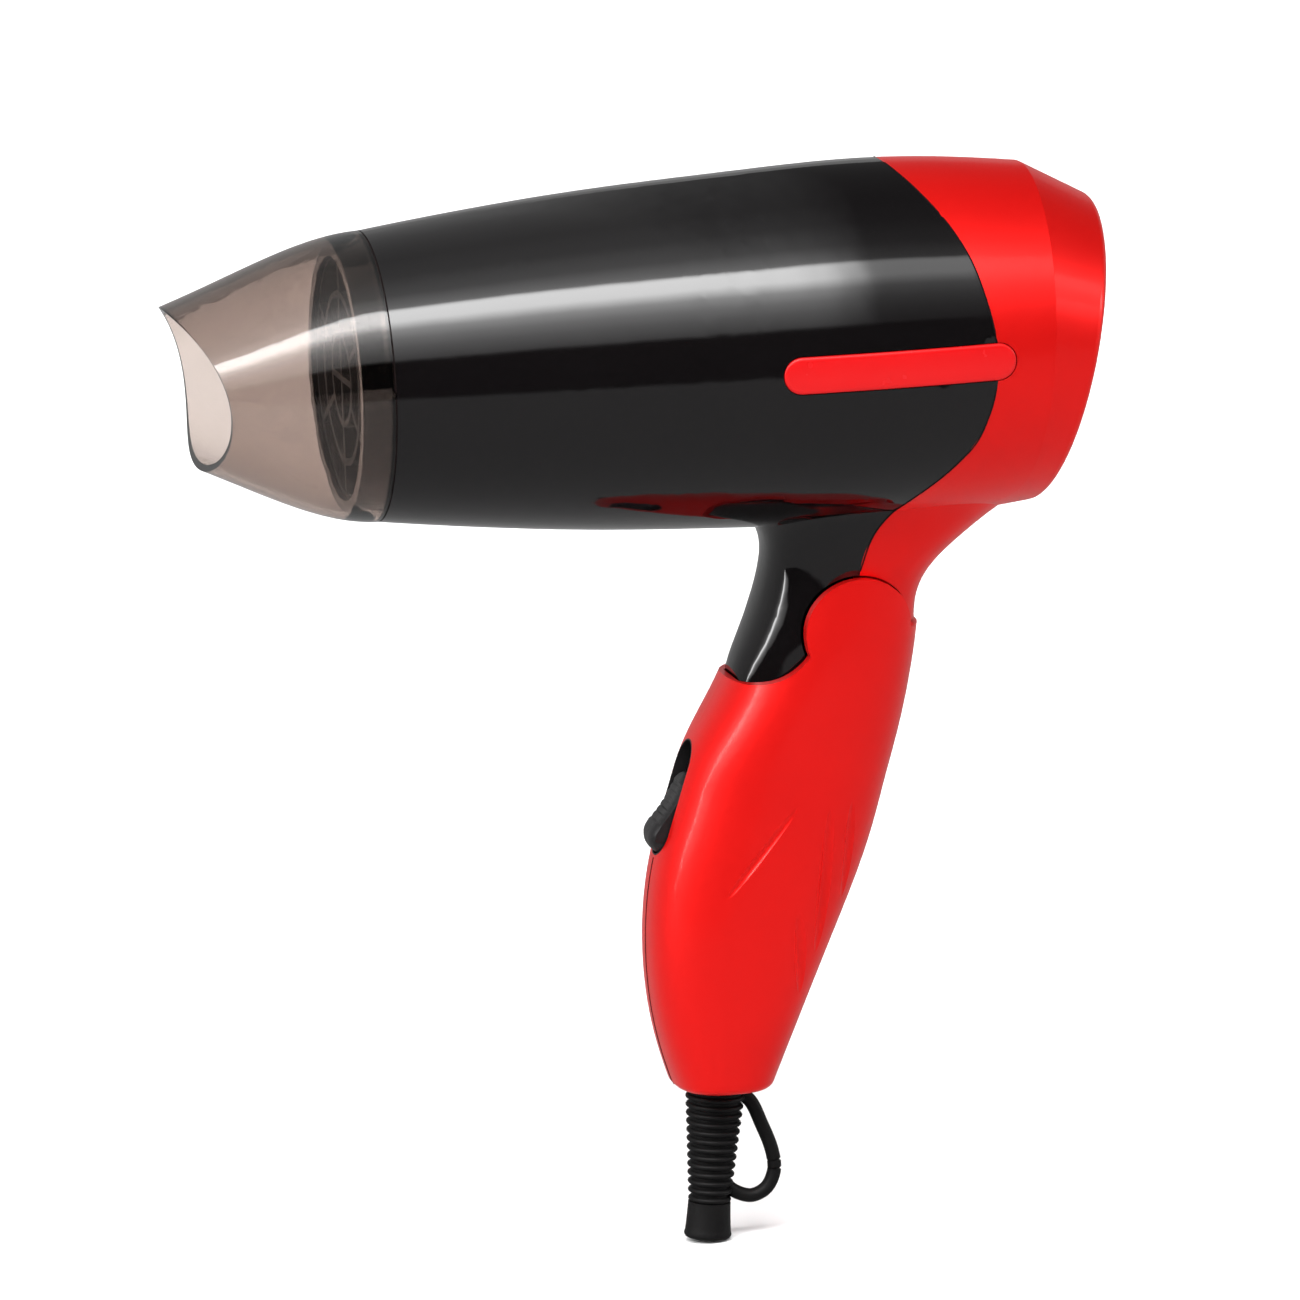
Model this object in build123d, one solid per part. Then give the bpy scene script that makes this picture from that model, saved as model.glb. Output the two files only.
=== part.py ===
"""Folding travel hair dryer, built as the separate pieces of the real product.

Frame: millimetres. X runs along the barrel's axis, from the nozzle (-X) to the air intake (+X),
Z is up, and Y crosses the dryer. The origin is the centre of the nozzle's seat on the barrel.
"""
from build123d import *
from functools import lru_cache
from math import cos, pi, radians, sin
import os

# ---- barrel: (x, outer radius) stations from the nozzle seat to behind the shoulder
BARREL_STATIONS = [(0, 29.0), (20, 31.5), (45, 33.9), (75, 35.6), (103, 36.5), (120, 35.6),
                   (135, 33.9), (155, 31.2)]
BARREL_WALL = 2.0
BACK_X = 141.3            # centre of the tilted back face
BACK_Z = -4.0
BACK_RADIUS = 31.0
BACK_TILT = 14.0          # degrees, the top of the back face lies further back
BACK_EDGE = 2.2           # rounding of the back edge
TAIL_X = 110.0            # where the bevel's cone starts, outside the barrel
TAIL_Z = 5.5
TAIL_RADIUS = 42.0

# ---- spigot and nozzle
SPIGOT_LENGTH = 6.5
SPIGOT_RADIUS = 27.1
SPIGOT_WALL = 1.6
SPIGOT_LIP = 1.2
NOZZLE_WALL = 1.6
NOZZLE_SEAT_GAP = 0.3
NOZZLE_FIT = 0.25
# (x, top, bottom, half width) of the nozzle's outside
NOZZLE_STATIONS = [(-12, 26.9, -26.6, 28.3), (-24, 22.6, -21.4, 27.0), (-36, 17.9, -15.6, 25.3),
                   (-46, 14.4, -11.2, 23.6)]
MOUTH_X = -60.6           # axis of the concave cut across the mouth
MOUTH_Z = -4.0
MOUTH_RADIUS = 28.3

# ---- neck and fold pivot
PIVOT_X = 95.0
PIVOT_Z = -56.5
NECK_WALL = 1.8
# (z, front x, back x, half width) of the neck's outside
NECK_STATIONS = [(-24, 70.0, 133.0, 19.5), (-33, 75.4, 129.2, 17.6), (-38, 78.7, 121.6, 16.0),
                 (-43, 78.9, 115.3, 14.9), (-48, 77.7, 111.1, 14.3), (-53, 76.0, 109.4, 14.2),
                 (-58, 73.9, 109.1, 14.0), (-64, 71.4, 108.6, 13.3), (-74, 68.8, 107.0, 12.2)]
TONGUE_RADIUS = 24.8      # reach of the tongue about the pivot
TONGUE_ANGLE = 207.0      # degrees about the pivot, from +X towards +Z, of the tongue's tip
TONGUE_ROOT_ANGLE = 235.0 # where the tongue's lower edge meets the hub
HUB_RADIUS = 10.3
HUB_RIM = 1.8
HUB_FLAT = 8.2            # half the width over which the hub has its full radius
HUB_HOLLOW = 4.5          # half the width of the leads' way past the pivot tube
HUB_SHOULDER = 3.3
HUB_WINDOW = 8.8          # from the pivot to the front of the leads' way
PIVOT_TUBE_RADIUS = 5.0
PIVOT_TUBE_WALL = 0.8
PIVOT_FIT = 0.1
# front-to-back seam, seen from the side: (x, z) from the top of the barrel to the pivot
SEAM_POINTS = [(104.6, 37.5), (109.3, 32.2), (114.2, 25.0), (117.7, 16.0), (120.2, 0.0), (117.3, -14.0),
               (112.2, -21.5), (103.6, -30.0), (98.3, -36.5), (95.6, -44.0)]

# ---- handle
HANDLE_WALL = 2.3
# (z, front x, back x, half width) of the handle's outside
HANDLE_STATIONS = [(-38, 77.5, 111.5, 17.2), (-48, 76.0, 110.4, 17.6), (-56.5, 73.8, 109.5, 17.8),
                   (-65.5, 70.3, 108.0, 17.8), (-75, 64.8, 105.9, 17.4), (-88, 59.0, 102.1, 16.9),
                   (-101, 54.8, 98.0, 16.6), (-113, 52.7, 93.0, 16.4), (-125, 52.4, 87.5, 16.0),
                   (-137, 53.8, 82.1, 15.0), (-149.3, 57.2, 76.6, 13.2)]
EAR_RADIUS = 11.3
CUSP_ANGLE = 199.0        # degrees about the pivot, where the ear meets the front rim
RIM_FRONT = (60.0, -57.6)
RIM_LOW = (74.4, -65.9)
HANDLE_END_EDGE = 2.0
# finger flutes on both sides of the grip: (lower tip, upper tip, depth, radius), tips as (x, z)
FLUTES = [((91.0, -109.5), (92.6, -90.0), 0.55, 1.8), ((85.1, -121.0), (88.0, -88.0), 0.7, 1.8),
          ((81.4, -129.5), (80.3, -110.0), 0.6, 1.8), ((66.0, -108.0), (81.4, -90.0), 0.35, 1.2)]
FLUTE_FLATTEST = 0.1      # least bow of a flute's ring between the flute's tips
BODY_GAP = 0.3            # running gap between pieces that move past each other

# ---- switch
SWITCH_X = 58.7           # centre of the switch window on the handle's front
SWITCH_Z = -89.8
SWITCH_LEAN = 19.8        # degrees between the switch's travel and vertical
WINDOW_LENGTH = 24.5
WINDOW_WIDTH = 11.0
SWITCH_TRAVEL = 6.0
KNOB_WIDTH = 9.8
KNOB_END_GAP = 0.6
# side outline of the knob's top: (along the travel, outwards) from its lower end
KNOB_OUTLINE = [(0.0, -1.6), (0.9, 1.7), (3.4, 3.3), (6.2, 2.8), (11.4, 0.5), (17.3, -1.5)]
KNOB_GROOVES = 7
GROOVE_RADIUS = 0.35
GROOVE_START = 6.6
GROOVE_PITCH = 1.3
PLATE_DEPTH = 4.5         # from the handle's front down to the sliding plate
PLATE_THICKNESS = 1.2
PLATE_WIDTH = 12.0
PLATE_COVER = 0.5
STEM_SIZE = 3.0
STEM_LENGTH = 4.0
SWITCH_LENGTH = 25.0
SWITCH_WIDTH = 11.0
SWITCH_HEIGHT = 9.0
TERMINAL = 4.0            # how far the terminals stand behind the switch body
TERMINAL_PITCH = 8.0
TERMINAL_HALF = 2.4       # half the width over each terminal and its solder
CONTACT_THICKNESS = 0.5

# ---- strain relief
BOOT_X = 65.8
BOOT_LEAN = 5.0           # degrees, the boot's lower end leans to the front
BOOT_LENGTH = 31.7
BOOT_NECK_RADIUS = 5.5
BOOT_TOP_RADIUS = 6.2
BOOT_END_RADIUS = 4.3
BELL_RADIUS = 4.8
BELL_LENGTH = 7.4
BOOT_COLLAR = 1.6
RIB_COUNT = 13
RIB_GROOVE = 0.7
CORD_RADIUS = 3.2
BOOT_FLANGE_RADIUS = 6.8
BOOT_FLANGE = 2.4
LOOP_RADIUS = 1.45
# the hanging loop's centre line below the handle's end: (x, z) from the top anchor to the lower one
LOOP_POINTS = [(4.2, -2.2), (7.2, -3.0), (9.0, -9.0), (11.3, -14.6), (11.2, -21.6), (7.4, -23.8),
               (0.6, -21.6)]
LOOP_BENDS = [2.0, 8.0, 5.0, 2.4, 3.0]

# ---- side strips and the screws under them
STRIP_FRONT = 76.6
STRIP_BACK = 123.9
STRIP_WIDTH = 7.4
STRIP_DEPTH = 1.3
STRIP_PROUD = 0.35
STRIP_GAP = 0.15
TAB_SCREW_X = 112.5
TAB_WIDTH = 11.0
TAB_THICKNESS = 2.0
TAB_ROOT = 3.2
SCREW_RADIUS = 1.3
SCREW_HEAD_RADIUS = 2.6
SCREW_HEAD = 1.5
SCREW_SLOT = 0.6
SCREW_GAP = 0.15
POCKET_DEPTH = 1.9
POCKET_FLOOR = 1.5
POCKET_WALL = 1.5

# ---- air path and what it holds
DUCT_FRONT = 62.0
DUCT_BACK = 126.5
DUCT_RADIUS = 27.2
DUCT_WALL = 1.2
DUCT_FLANGE_RADIUS = 31.0
DUCT_FLANGE = 1.6
LEDGE = 1.8
HEATER_RADIUS = 24.6
HEATER_WALL = 0.5
HEATER_OVERLAP = 4.0
GRILLE_THICKNESS = 3.0
GRILLE_BAR = 1.3
OUTLET_RINGS = (0.36, 0.66)   # radii as shares of the bore
OUTLET_BARS = 6
COIL_RADIUS = 18.1
COIL_WIRE = 0.5
COIL_FRONT = 9.0
COIL_PITCH = 5.0
COIL_TURNS = 8
BOARD_THICKNESS = 0.6
BOARD_SLACK = 0.05
BOARD_FRONT = 2.0
COIL_MARGIN = 3.0         # free length of board in front of the coil
CUT_OUT_GAP = 5.0         # from the coil's end to the thermostat and the fuse
CUT_OUT_SPAN = (3.0, 15.0)    # across the board
CUT_OUT_WIDTH = 6.0
CUT_OUT_HEIGHT = 3.2
BLADE_HEIGHT = 0.4
FUSE_RADIUS = 1.7
FUSE_WIRE = 0.5
FUSE_SPAN = (-14.0, -4.0)
MOTOR_RADIUS = 13.8
MOTOR_FRONT = 78.0
MOTOR_BACK = 109.5
MOTOR_EDGE = 0.8
FRONT_BOSS = 1.2
FRONT_BOSS_RADIUS = 3.5
BACK_BOSS_RADIUS = 4.2
TAG_SPREAD = 9.0          # of the motor's terminals from its axis
TAG_WIDTH = 2.4
TAG_THICKNESS = 0.8
TAG_FREE = 0.1            # clearance of a terminal in the circuit board
CIRCUIT_THICKNESS = 1.2
DIODE_RADIUS = 1.3
DIODE_HALF = 2.5
DIODE_RING = 4.5
DIODE_SUNK = 0.2
DIODES = 4
MOTOR_CUP_WALL = 1.4
VANE_FRONT = 88.0
VANE_COUNT = 7
VANE_THICKNESS = 1.2
SHAFT_RADIUS = 1.2
FAN_FRONT = 111.5
FAN_LENGTH = 12.5
FAN_HUB_RADIUS = 13.0
FAN_HUB_ROUND = 4.0
FAN_HUB_WALL = 1.5
FAN_HUB_CROWN = 5.0
FAN_BOSS_RADIUS = 4.0
SHAFT_SHORT = 1.5         # from the fan's crown to the shaft's end
FAN_TIP_GAP = 0.7
FAN_BLADES = 8
BLADE_PITCH = 38.0        # degrees
BLADE_THICKNESS = 1.1
INTAKE_RADIUS = 23.0
INTAKE_WALL = 2.2
INTAKE_GRILLE = 1.4
INTAKE_LIP = 1.8
INTAKE_RINGS = (0.2, 0.42, 0.64, 0.82)   # radii as shares of the opening's
INTAKE_RING = 1.4
INTAKE_BARS = 8
INTAKE_FIT = 0.1
INTAKE_SKIRT = 2.5
INTAKE_SKIRT_WALL = 1.2
FILTER_THICKNESS = 0.4

# ---- what the handle holds: (x, z) places of the screws that join its halves
HANDLE_SCREWS = [(86.0, -96.0), (63.5, -113.0), (77.0, -132.0)]
BOSS_RADIUS = 3.0
HANDLE_SCREW_RADIUS = 1.25
HANDLE_HEAD_RADIUS = 2.5
HANDLE_HEAD_DEPTH = 6.5   # from the mid-plane to the seat of the screw's head
HANDLE_HEAD = 1.8
CROSS_SLOT = 2.8
CLAMP_Z = -138.0
CLAMP_SPREAD = 5.4
CLAMP_THICKNESS = 3.0
CLAMP_HEIGHT = 5.0
CLAMP_BOSS_RADIUS = 2.1
CLAMP_SCREW_RADIUS = 1.1
CAPACITOR_X = 83.7
CAPACITOR_Z = -106.6
CAPACITOR_SIZE = (12.0, 8.0, 12.0)
CAPACITOR_EDGE = 0.8
DETENT_THICKNESS = 0.5
DETENT_START = 288.0      # degrees about the pivot
DETENT_END = 335.0

LEAD_RADIUS = 0.9
LEAD_SPREAD = 1.3         # distance of each lead of a pair from the middle
BARREL_LEAD = [(88.3, -63.0), (88.3, -46.0), (84.0, -35.0), (76.0, -31.2), (59.5, -31.2), (59.5, -12.0)]
BARREL_LEAD_BENDS = [8.0, 9.0, 8.0, 4.0]
SWITCH_LEAD = [(90.0, -88.0), (98.2, -84.5), (100.2, -77.0), (100.0, -70.0)]
SWITCH_LEAD_BENDS = [3.0, 5.0, 6.0, 6.0]
CORD_LEAD = [(66.0, -137.0), (67.0, -122.0)]
CORD_LEAD_BENDS = [9.0, 2.0]
LEAD_STUB = 4.0           # straight run of a lead behind its terminal
LEAD_SLOT = 5.0           # half the width of the gap that the leads pass through

OUTLINE_POINTS = 24
OUTLINE_POWER = 2.5
WIDE = 200.0              # larger than the dryer, for cutting tools


# ---- small tools -------------------------------------------------------------------------

def rod_x(radius, x0, x1, y=0.0, z=0.0):
    return Pos((x0 + x1) / 2, y, z) * Rot(0, 90, 0) * Cylinder(radius, x1 - x0)


def rod_y(radius, y0, y1, x, z):
    return Pos(x, (y0 + y1) / 2, z) * Rot(90, 0, 0) * Cylinder(radius, y1 - y0)


def ring_x(outer, inner, x0, x1):
    return rod_x(outer, x0, x1) - rod_x(inner, x0 - 1, x1 + 1)


def block(x0, x1, y0, y1, z0, z1):
    return Pos((x0 + x1) / 2, (y0 + y1) / 2, (z0 + z1) / 2) * Box(x1 - x0, y1 - y0, z1 - z0)


def side_prism(wire, half_width=WIDE):
    """Solid with the given closed outline in the XZ plane, running across the dryer."""
    return extrude(make_face(wire), amount=half_width, dir=(0, 1, 0), both=True)


def rounded_section(z, front, back, half_width):
    """Level superellipse between a front and a back x, at height z."""
    middle = (front + back) / 2
    reach = (back - front) / 2
    points = []
    for step in range(OUTLINE_POINTS):
        angle = 2 * pi * step / OUTLINE_POINTS
        across = abs(cos(angle)) ** (2 / OUTLINE_POWER) * (1 if cos(angle) >= 0 else -1)
        aside = abs(sin(angle)) ** (2 / OUTLINE_POWER) * (1 if sin(angle) >= 0 else -1)
        points.append((middle + reach * across, half_width * aside, z))
    return make_face(Spline(*points, periodic=True))


def lofted(stations, inset=0.0):
    """Loft through (z, front, back, half width) stations, all pulled in by inset."""
    sections = []
    for z, front, back, half in stations:
        sections.append(rounded_section(z, front + inset, back - inset, half - inset))
    return loft(sections)


def pivot_point(radius, angle):
    return (PIVOT_X + radius * cos(radians(angle)), 0, PIVOT_Z + radius * sin(radians(angle)))


def flat(x, z):
    return (x, 0, z)


def station_value(stations, position, column):
    """Value of a column at a position, straight between the two stations around it."""
    ordered = sorted(stations)
    for low, high in zip(ordered, ordered[1:]):
        if low[0] <= position <= high[0]:
            share = (position - low[0]) / (high[0] - low[0])
            return low[column] + share * (high[column] - low[column])
    raise ValueError(position)


# ---- barrel and neck ---------------------------------------------------------------------

@lru_cache(maxsize=None)
def barrel_body(inset):
    """Solid of revolution of the barrel with its bevelled, tilted back, pulled in by inset."""
    stations = [(x, radius - inset) for x, radius in BARREL_STATIONS]
    curve = Spline(*[(x, 0, radius) for x, radius in stations])
    first = stations[0]
    last = stations[-1]
    rest = Polyline((last[0], 0, last[1]), (last[0], 0, 0), (first[0], 0, 0), (first[0], 0, first[1]))
    body = revolve(make_face(curve + rest), Axis.X, 360)
    start = Plane(origin=(TAIL_X, 0, TAIL_Z), x_dir=(0, 1, 0), z_dir=(1, 0, 0))
    end = back_plane().offset(-INTAKE_WALL if inset > 0 else 0)
    cone = loft([start * Circle(TAIL_RADIUS - inset), end * Circle(BACK_RADIUS - inset)], ruled=True)
    if inset == 0:
        rim = cone.edges().sort_by(Axis.X)[-1]
        cone = fillet(rim, BACK_EDGE)
    behind = block(TAIL_X, WIDE, -WIDE, WIDE, -WIDE, WIDE) - cone
    return body - behind


def back_plane():
    normal = (cos(radians(BACK_TILT)), 0, -sin(radians(BACK_TILT)))
    return Plane(origin=(BACK_X, 0, BACK_Z), x_dir=(0, 1, 0), z_dir=normal)


def neck_trim():
    """Side outline of what the neck keeps: all above the fold joint, and the tongue in front."""
    tip = pivot_point(TONGUE_RADIUS, TONGUE_ANGLE)
    floor = PIVOT_Z + 2 * BODY_GAP
    hub_low = pivot_point(HUB_RADIUS, TONGUE_ROOT_ANGLE)
    outline = Polyline(
        flat(WIDE, 0), flat(WIDE, floor), flat(PIVOT_X + 2, floor), hub_low, tip,
        flat(0, tip[2]), flat(0, 0), flat(WIDE, 0))
    keep = side_prism(outline)
    below = block(0, PIVOT_X, -WIDE, WIDE, -WIDE, PIVOT_Z)
    return keep - (below - rod_y(TONGUE_RADIUS, -WIDE, WIDE, PIVOT_X, PIVOT_Z))


def hub_profile(grow=0.0):
    """Hub turned about the pivot: full radius in the middle, smaller at its outer faces."""
    half = neck_half_width()
    return turned([(HUB_RADIUS - HUB_SHOULDER, half), (HUB_RADIUS, HUB_FLAT)], grow)


def ear_relief(grow=0.0):
    """Space that the neck keeps to inside the ears: the hub's cone carried out past the ear's edge."""
    half = neck_half_width()
    slope = (half - HUB_FLAT) / HUB_SHOULDER
    past = EAR_RADIUS + 2 * BODY_GAP
    return turned([(HUB_RADIUS - HUB_SHOULDER, half), (past, HUB_FLAT - slope * (past - HUB_RADIUS))], grow)


def turned(corners, grow):
    """Solid turned about the pivot from (radius, half width) corners, mirrored about the mid-plane."""
    right = [(PIVOT_X + radius + grow, half + grow, PIVOT_Z) for radius, half in corners]
    left = [(x, -y, z) for x, y, z in reversed(right)]
    top = right[0][1]
    outline = [(PIVOT_X, top, PIVOT_Z)] + right + left + [(PIVOT_X, -top, PIVOT_Z)]
    return revolve(make_face(Polyline(*outline, close=True)), Axis((PIVOT_X, 0, PIVOT_Z), (0, 1, 0)), 360)


def neck_half_width():
    return station_value(NECK_STATIONS, PIVOT_Z, 3)


def seam_front():
    """Everything in front of the seam between the front and the rear shell."""
    points = [flat(x, z) for x, z in SEAM_POINTS]
    curve = Spline(*points)
    start = points[0]
    end = points[-1]
    rest = Polyline(end, flat(PIVOT_X, PIVOT_Z), flat(PIVOT_X, -WIDE), flat(-WIDE, -WIDE), flat(-WIDE, WIDE),
                    flat(start[0], WIDE), start)
    return side_prism(curve + rest)


def strip_outline(grow):
    width = STRIP_WIDTH + 2 * grow
    length = STRIP_BACK - STRIP_FRONT + 2 * grow
    middle = (STRIP_FRONT + STRIP_BACK) / 2
    return Plane(origin=(middle, 0, 0), x_dir=(1, 0, 0), z_dir=(0, -1, 0)) * SlotOverall(length, width)


def strip_band(grow, depth, proud):
    """Both side strips' space: a slot seen from the side, between two turned surfaces."""
    slot = extrude(strip_outline(grow), amount=WIDE, both=True)
    return slot & (barrel_body(-proud) - barrel_body(depth))


def half_space(side):
    """Everything on the left (-1) or the right (+1) of the mid-plane."""
    return block(-WIDE, WIDE, *sorted((0, side * WIDE)), -WIDE, WIDE)


def tab(side):
    """Tongue of the rear shell that lies inside the front shell and takes the side screw."""
    outside = pocket_floor() - POCKET_FLOOR - SCREW_GAP
    back = DUCT_BACK - DUCT_FLANGE - BODY_GAP
    depth = sorted((side * (outside - TAB_THICKNESS), side * outside))
    plate = block(TAB_SCREW_X - TAB_WIDTH / 2, back, *depth, -TAB_WIDTH / 2, TAB_WIDTH / 2)
    depth = sorted((side * (outside - TAB_THICKNESS), side * WIDE))
    root = block(back - TAB_ROOT, back, *depth, -TAB_WIDTH / 2, TAB_WIDTH / 2)
    return plate + (root & barrel_body((STRIP_DEPTH + BARREL_WALL) / 2))


def recess_floor():
    """Distance from the axis of the strip recess's floor at the side screw."""
    return station_value(BARREL_STATIONS, TAB_SCREW_X, 1) - STRIP_DEPTH


def pocket_floor():
    return recess_floor() - POCKET_DEPTH


def pivot_rod(radius, half_width=WIDE):
    return rod_y(radius, -half_width, half_width, PIVOT_X, PIVOT_Z)


def whole_shell():
    """Barrel and neck as one hollow piece, with the hub, before it is split at the seam."""
    under_ear = pivot_rod(EAR_RADIUS + BODY_GAP)
    neck = (lofted(NECK_STATIONS) & neck_trim()) - (under_ear - ear_relief())
    around = pivot_rod(EAR_RADIUS + BODY_GAP + NECK_WALL) - pivot_rod(WIDE / 2, HUB_HOLLOW)
    hollow = lofted(NECK_STATIONS, NECK_WALL) - around
    shell = barrel_body(0) + neck - barrel_body(BARREL_WALL) - hollow
    hub = hub_profile() - pivot_rod(HUB_RADIUS - HUB_RIM, HUB_HOLLOW)
    hub -= block(PIVOT_X - HUB_WINDOW, PIVOT_X, -HUB_HOLLOW, HUB_HOLLOW, -WIDE, WIDE)
    floor_low = PIVOT_Z + 2 * BODY_GAP
    floor = block(PIVOT_X + HUB_RADIUS - HUB_RIM, WIDE, -WIDE, WIDE, floor_low, floor_low + NECK_WALL)
    floor = (floor & lofted(NECK_STATIONS)) - (under_ear - ear_relief())
    shell += hub
    shell += floor
    shell -= pivot_rod(PIVOT_TUBE_RADIUS)
    return shell - strip_band(STRIP_GAP, STRIP_DEPTH, 1.0)


def pockets(radius, inner, outer):
    """A pair of round plugs on the side screws' axes, between two distances from the axis."""
    plugs = [rod_y(radius, *sorted((side * inner, side * outer)), TAB_SCREW_X, 0) for side in (-1, 1)]
    return plugs[0] + plugs[1]


def front_shell(shell, front):
    bore = SPIGOT_RADIUS - SPIGOT_WALL
    seat_radius = station_value(BARREL_STATIONS, 0, 1) - BARREL_WALL / 2
    body = shell & front
    body += ring_x(seat_radius, bore, 0, 2 * BARREL_WALL)
    body += ring_x(SPIGOT_RADIUS, bore, -SPIGOT_LENGTH, BARREL_WALL)
    body += ring_x(SPIGOT_RADIUS, bore - SPIGOT_LIP, -SPIGOT_LENGTH, -SPIGOT_LENGTH + SPIGOT_LIP)
    duct_seat = ring_x(WIDE / 4, DUCT_RADIUS + DUCT_WALL, DUCT_FRONT, DUCT_FRONT + LEDGE)
    duct_seat -= block(0, WIDE, -LEAD_SLOT, LEAD_SLOT, -WIDE, 0)
    body += duct_seat & barrel_body(BARREL_WALL / 2)
    cup = SCREW_HEAD_RADIUS + SCREW_GAP + POCKET_WALL
    body += pockets(cup, pocket_floor() - POCKET_FLOOR, WIDE) & barrel_body((STRIP_DEPTH + BARREL_WALL) / 2)
    body -= pockets(SCREW_HEAD_RADIUS + SCREW_GAP, pocket_floor(), WIDE)
    body -= pockets(SCREW_RADIUS + SCREW_GAP, pocket_floor() - 2 * POCKET_FLOOR, WIDE)
    return body


def rear_shell(shell, front):
    body = shell - front
    for side in (-1, 1):
        body += tab(side)
    ledge = ring_x(WIDE / 4, DUCT_RADIUS + DUCT_WALL, DUCT_BACK, DUCT_BACK + LEDGE)
    body += ledge & barrel_body(BARREL_WALL / 2)
    recess = INTAKE_RADIUS + INTAKE_LIP
    body -= back_plane() * Cylinder(INTAKE_RADIUS, 4 * INTAKE_WALL)
    body -= back_plane() * Cylinder(recess + INTAKE_FIT, 2 * INTAKE_GRILLE)
    tap = pocket_floor() - POCKET_FLOOR - SCREW_GAP
    body -= pockets(SCREW_RADIUS, tap - TAB_THICKNESS, tap)
    return body


def side_strip(side):
    strip = strip_band(0, STRIP_DEPTH, STRIP_PROUD) & half_space(side)
    outer = strip.faces().sort_by(Axis.Y)[-1 if side > 0 else 0]
    return fillet(outer.edges(), STRIP_PROUD)


def body_screws():
    """Two tapping screws, heads in pockets under the side strips."""
    head_top = pocket_floor() + SCREW_HEAD
    tip = pocket_floor() - POCKET_FLOOR - SCREW_GAP - TAB_THICKNESS
    screws = pockets(SCREW_RADIUS, tip, pocket_floor()) + pockets(SCREW_HEAD_RADIUS, pocket_floor(), head_top)
    slot = Box(SCREW_HEAD_RADIUS, 2 * (head_top + 1), SCREW_SLOT)
    slot -= Box(WIDE, 2 * (head_top - SCREW_SLOT), WIDE)
    return screws - Pos(TAB_SCREW_X, 0, 0) * slot


# ---- nozzle ------------------------------------------------------------------------------

def nozzle_section(x, top, bottom, half_width):
    """Egg-shaped section across the barrel's axis: flatter above, fuller to the sides."""
    points = []
    for step in range(OUTLINE_POINTS):
        angle = 2 * pi * step / OUTLINE_POINTS
        height = top if sin(angle) > 0 else -bottom
        points.append((x, half_width * cos(angle), height * sin(angle)))
    return make_face(Spline(*points, periodic=True))


def nozzle_body(inset):
    seat = station_value(BARREL_STATIONS, 0, 1)
    sections = [nozzle_section(-NOZZLE_SEAT_GAP, seat - inset, inset - seat, seat - inset)]
    for x, top, bottom, half_width in NOZZLE_STATIONS:
        sections.append(nozzle_section(x, top - inset, bottom + inset, half_width - inset))
    return loft(sections)


def nozzle():
    """Smoked concentrator: round at its skirt, a wide oval mouth cut back by a round scoop."""
    body = nozzle_body(0) - nozzle_body(NOZZLE_WALL)
    body -= rod_x(SPIGOT_RADIUS + NOZZLE_FIT, -SPIGOT_LENGTH - NOZZLE_FIT, 1)
    return body - rod_y(MOUTH_RADIUS, -WIDE, WIDE, MOUTH_X, MOUTH_Z)


# ---- air path ----------------------------------------------------------------------------

def outlet_grille():
    """Black guard inside the spigot: a rim, two inner rings and six radial bars."""
    bore = SPIGOT_RADIUS - SPIGOT_WALL
    front = -SPIGOT_LENGTH + SPIGOT_LIP
    back = front + GRILLE_THICKNESS
    radii = [bore * share for share in OUTLET_RINGS]
    guard = ring_x(bore, bore - 1.5 * GRILLE_BAR, front, 0)
    for radius in radii:
        guard += ring_x(radius + GRILLE_BAR / 2, radius - GRILLE_BAR / 2, front, back)
    bar = block(front, back, -GRILLE_BAR / 2, GRILLE_BAR / 2, radii[0], bore - GRILLE_BAR)
    for step in range(OUTLET_BARS):
        guard += Rot(360 * step / OUTLET_BARS, 0, 0) * bar
    cross = block(front, back, -GRILLE_BAR / 2, GRILLE_BAR / 2, -radii[0], radii[0])
    return guard + cross + Rot(90, 0, 0) * cross


def heater_tube():
    """Mica liner around the heater, with a slot at the back for the leads."""
    tube = ring_x(HEATER_RADIUS, HEATER_RADIUS - HEATER_WALL, 0, DUCT_FRONT + HEATER_OVERLAP)
    return tube - block(DUCT_FRONT - 6, DUCT_FRONT, -LEAD_SLOT, LEAD_SLOT, -WIDE, 0)


def heater_frame():
    """Two crossed mica boards, wide at both ends where they seat in the liner."""
    reach = HEATER_RADIUS - HEATER_WALL - BOARD_SLACK
    front = BOARD_FRONT
    back = DUCT_FRONT + HEATER_OVERLAP - 1
    coil_end = COIL_FRONT + COIL_PITCH * COIL_TURNS
    half = BOARD_THICKNESS / 2
    slim = COIL_RADIUS - COIL_WIRE - BOARD_THICKNESS / 4
    board = block(front, back, -half, half, -slim, slim)
    board += block(front, COIL_FRONT - COIL_MARGIN, -half, half, -reach, reach)
    board += block(coil_end + 3 * COIL_MARGIN, back, -half, half, -reach, reach)
    frame = board + Rot(90, 0, 0) * board
    corner = block(front, back, -LEAD_SLOT, LEAD_SLOT, -WIDE, -slim)
    corner -= block(front, coil_end, -WIDE, WIDE, -WIDE, 0)
    return frame - corner


def heater_coil():
    """Resistance wire wound round the boards."""
    turns = COIL_PITCH * COIL_TURNS
    path = Helix(COIL_PITCH, turns, COIL_RADIUS)
    wire = sweep(Plane(path @ 0, z_dir=path % 0) * Circle(COIL_WIRE), path=path)
    return Pos(COIL_FRONT, 0, 0) * Rot(0, 90, 0) * wire


def cut_out_place():
    """Distance along the barrel of the two cut-outs, just behind the coil."""
    return COIL_FRONT + COIL_PITCH * COIL_TURNS + CUT_OUT_GAP


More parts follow.
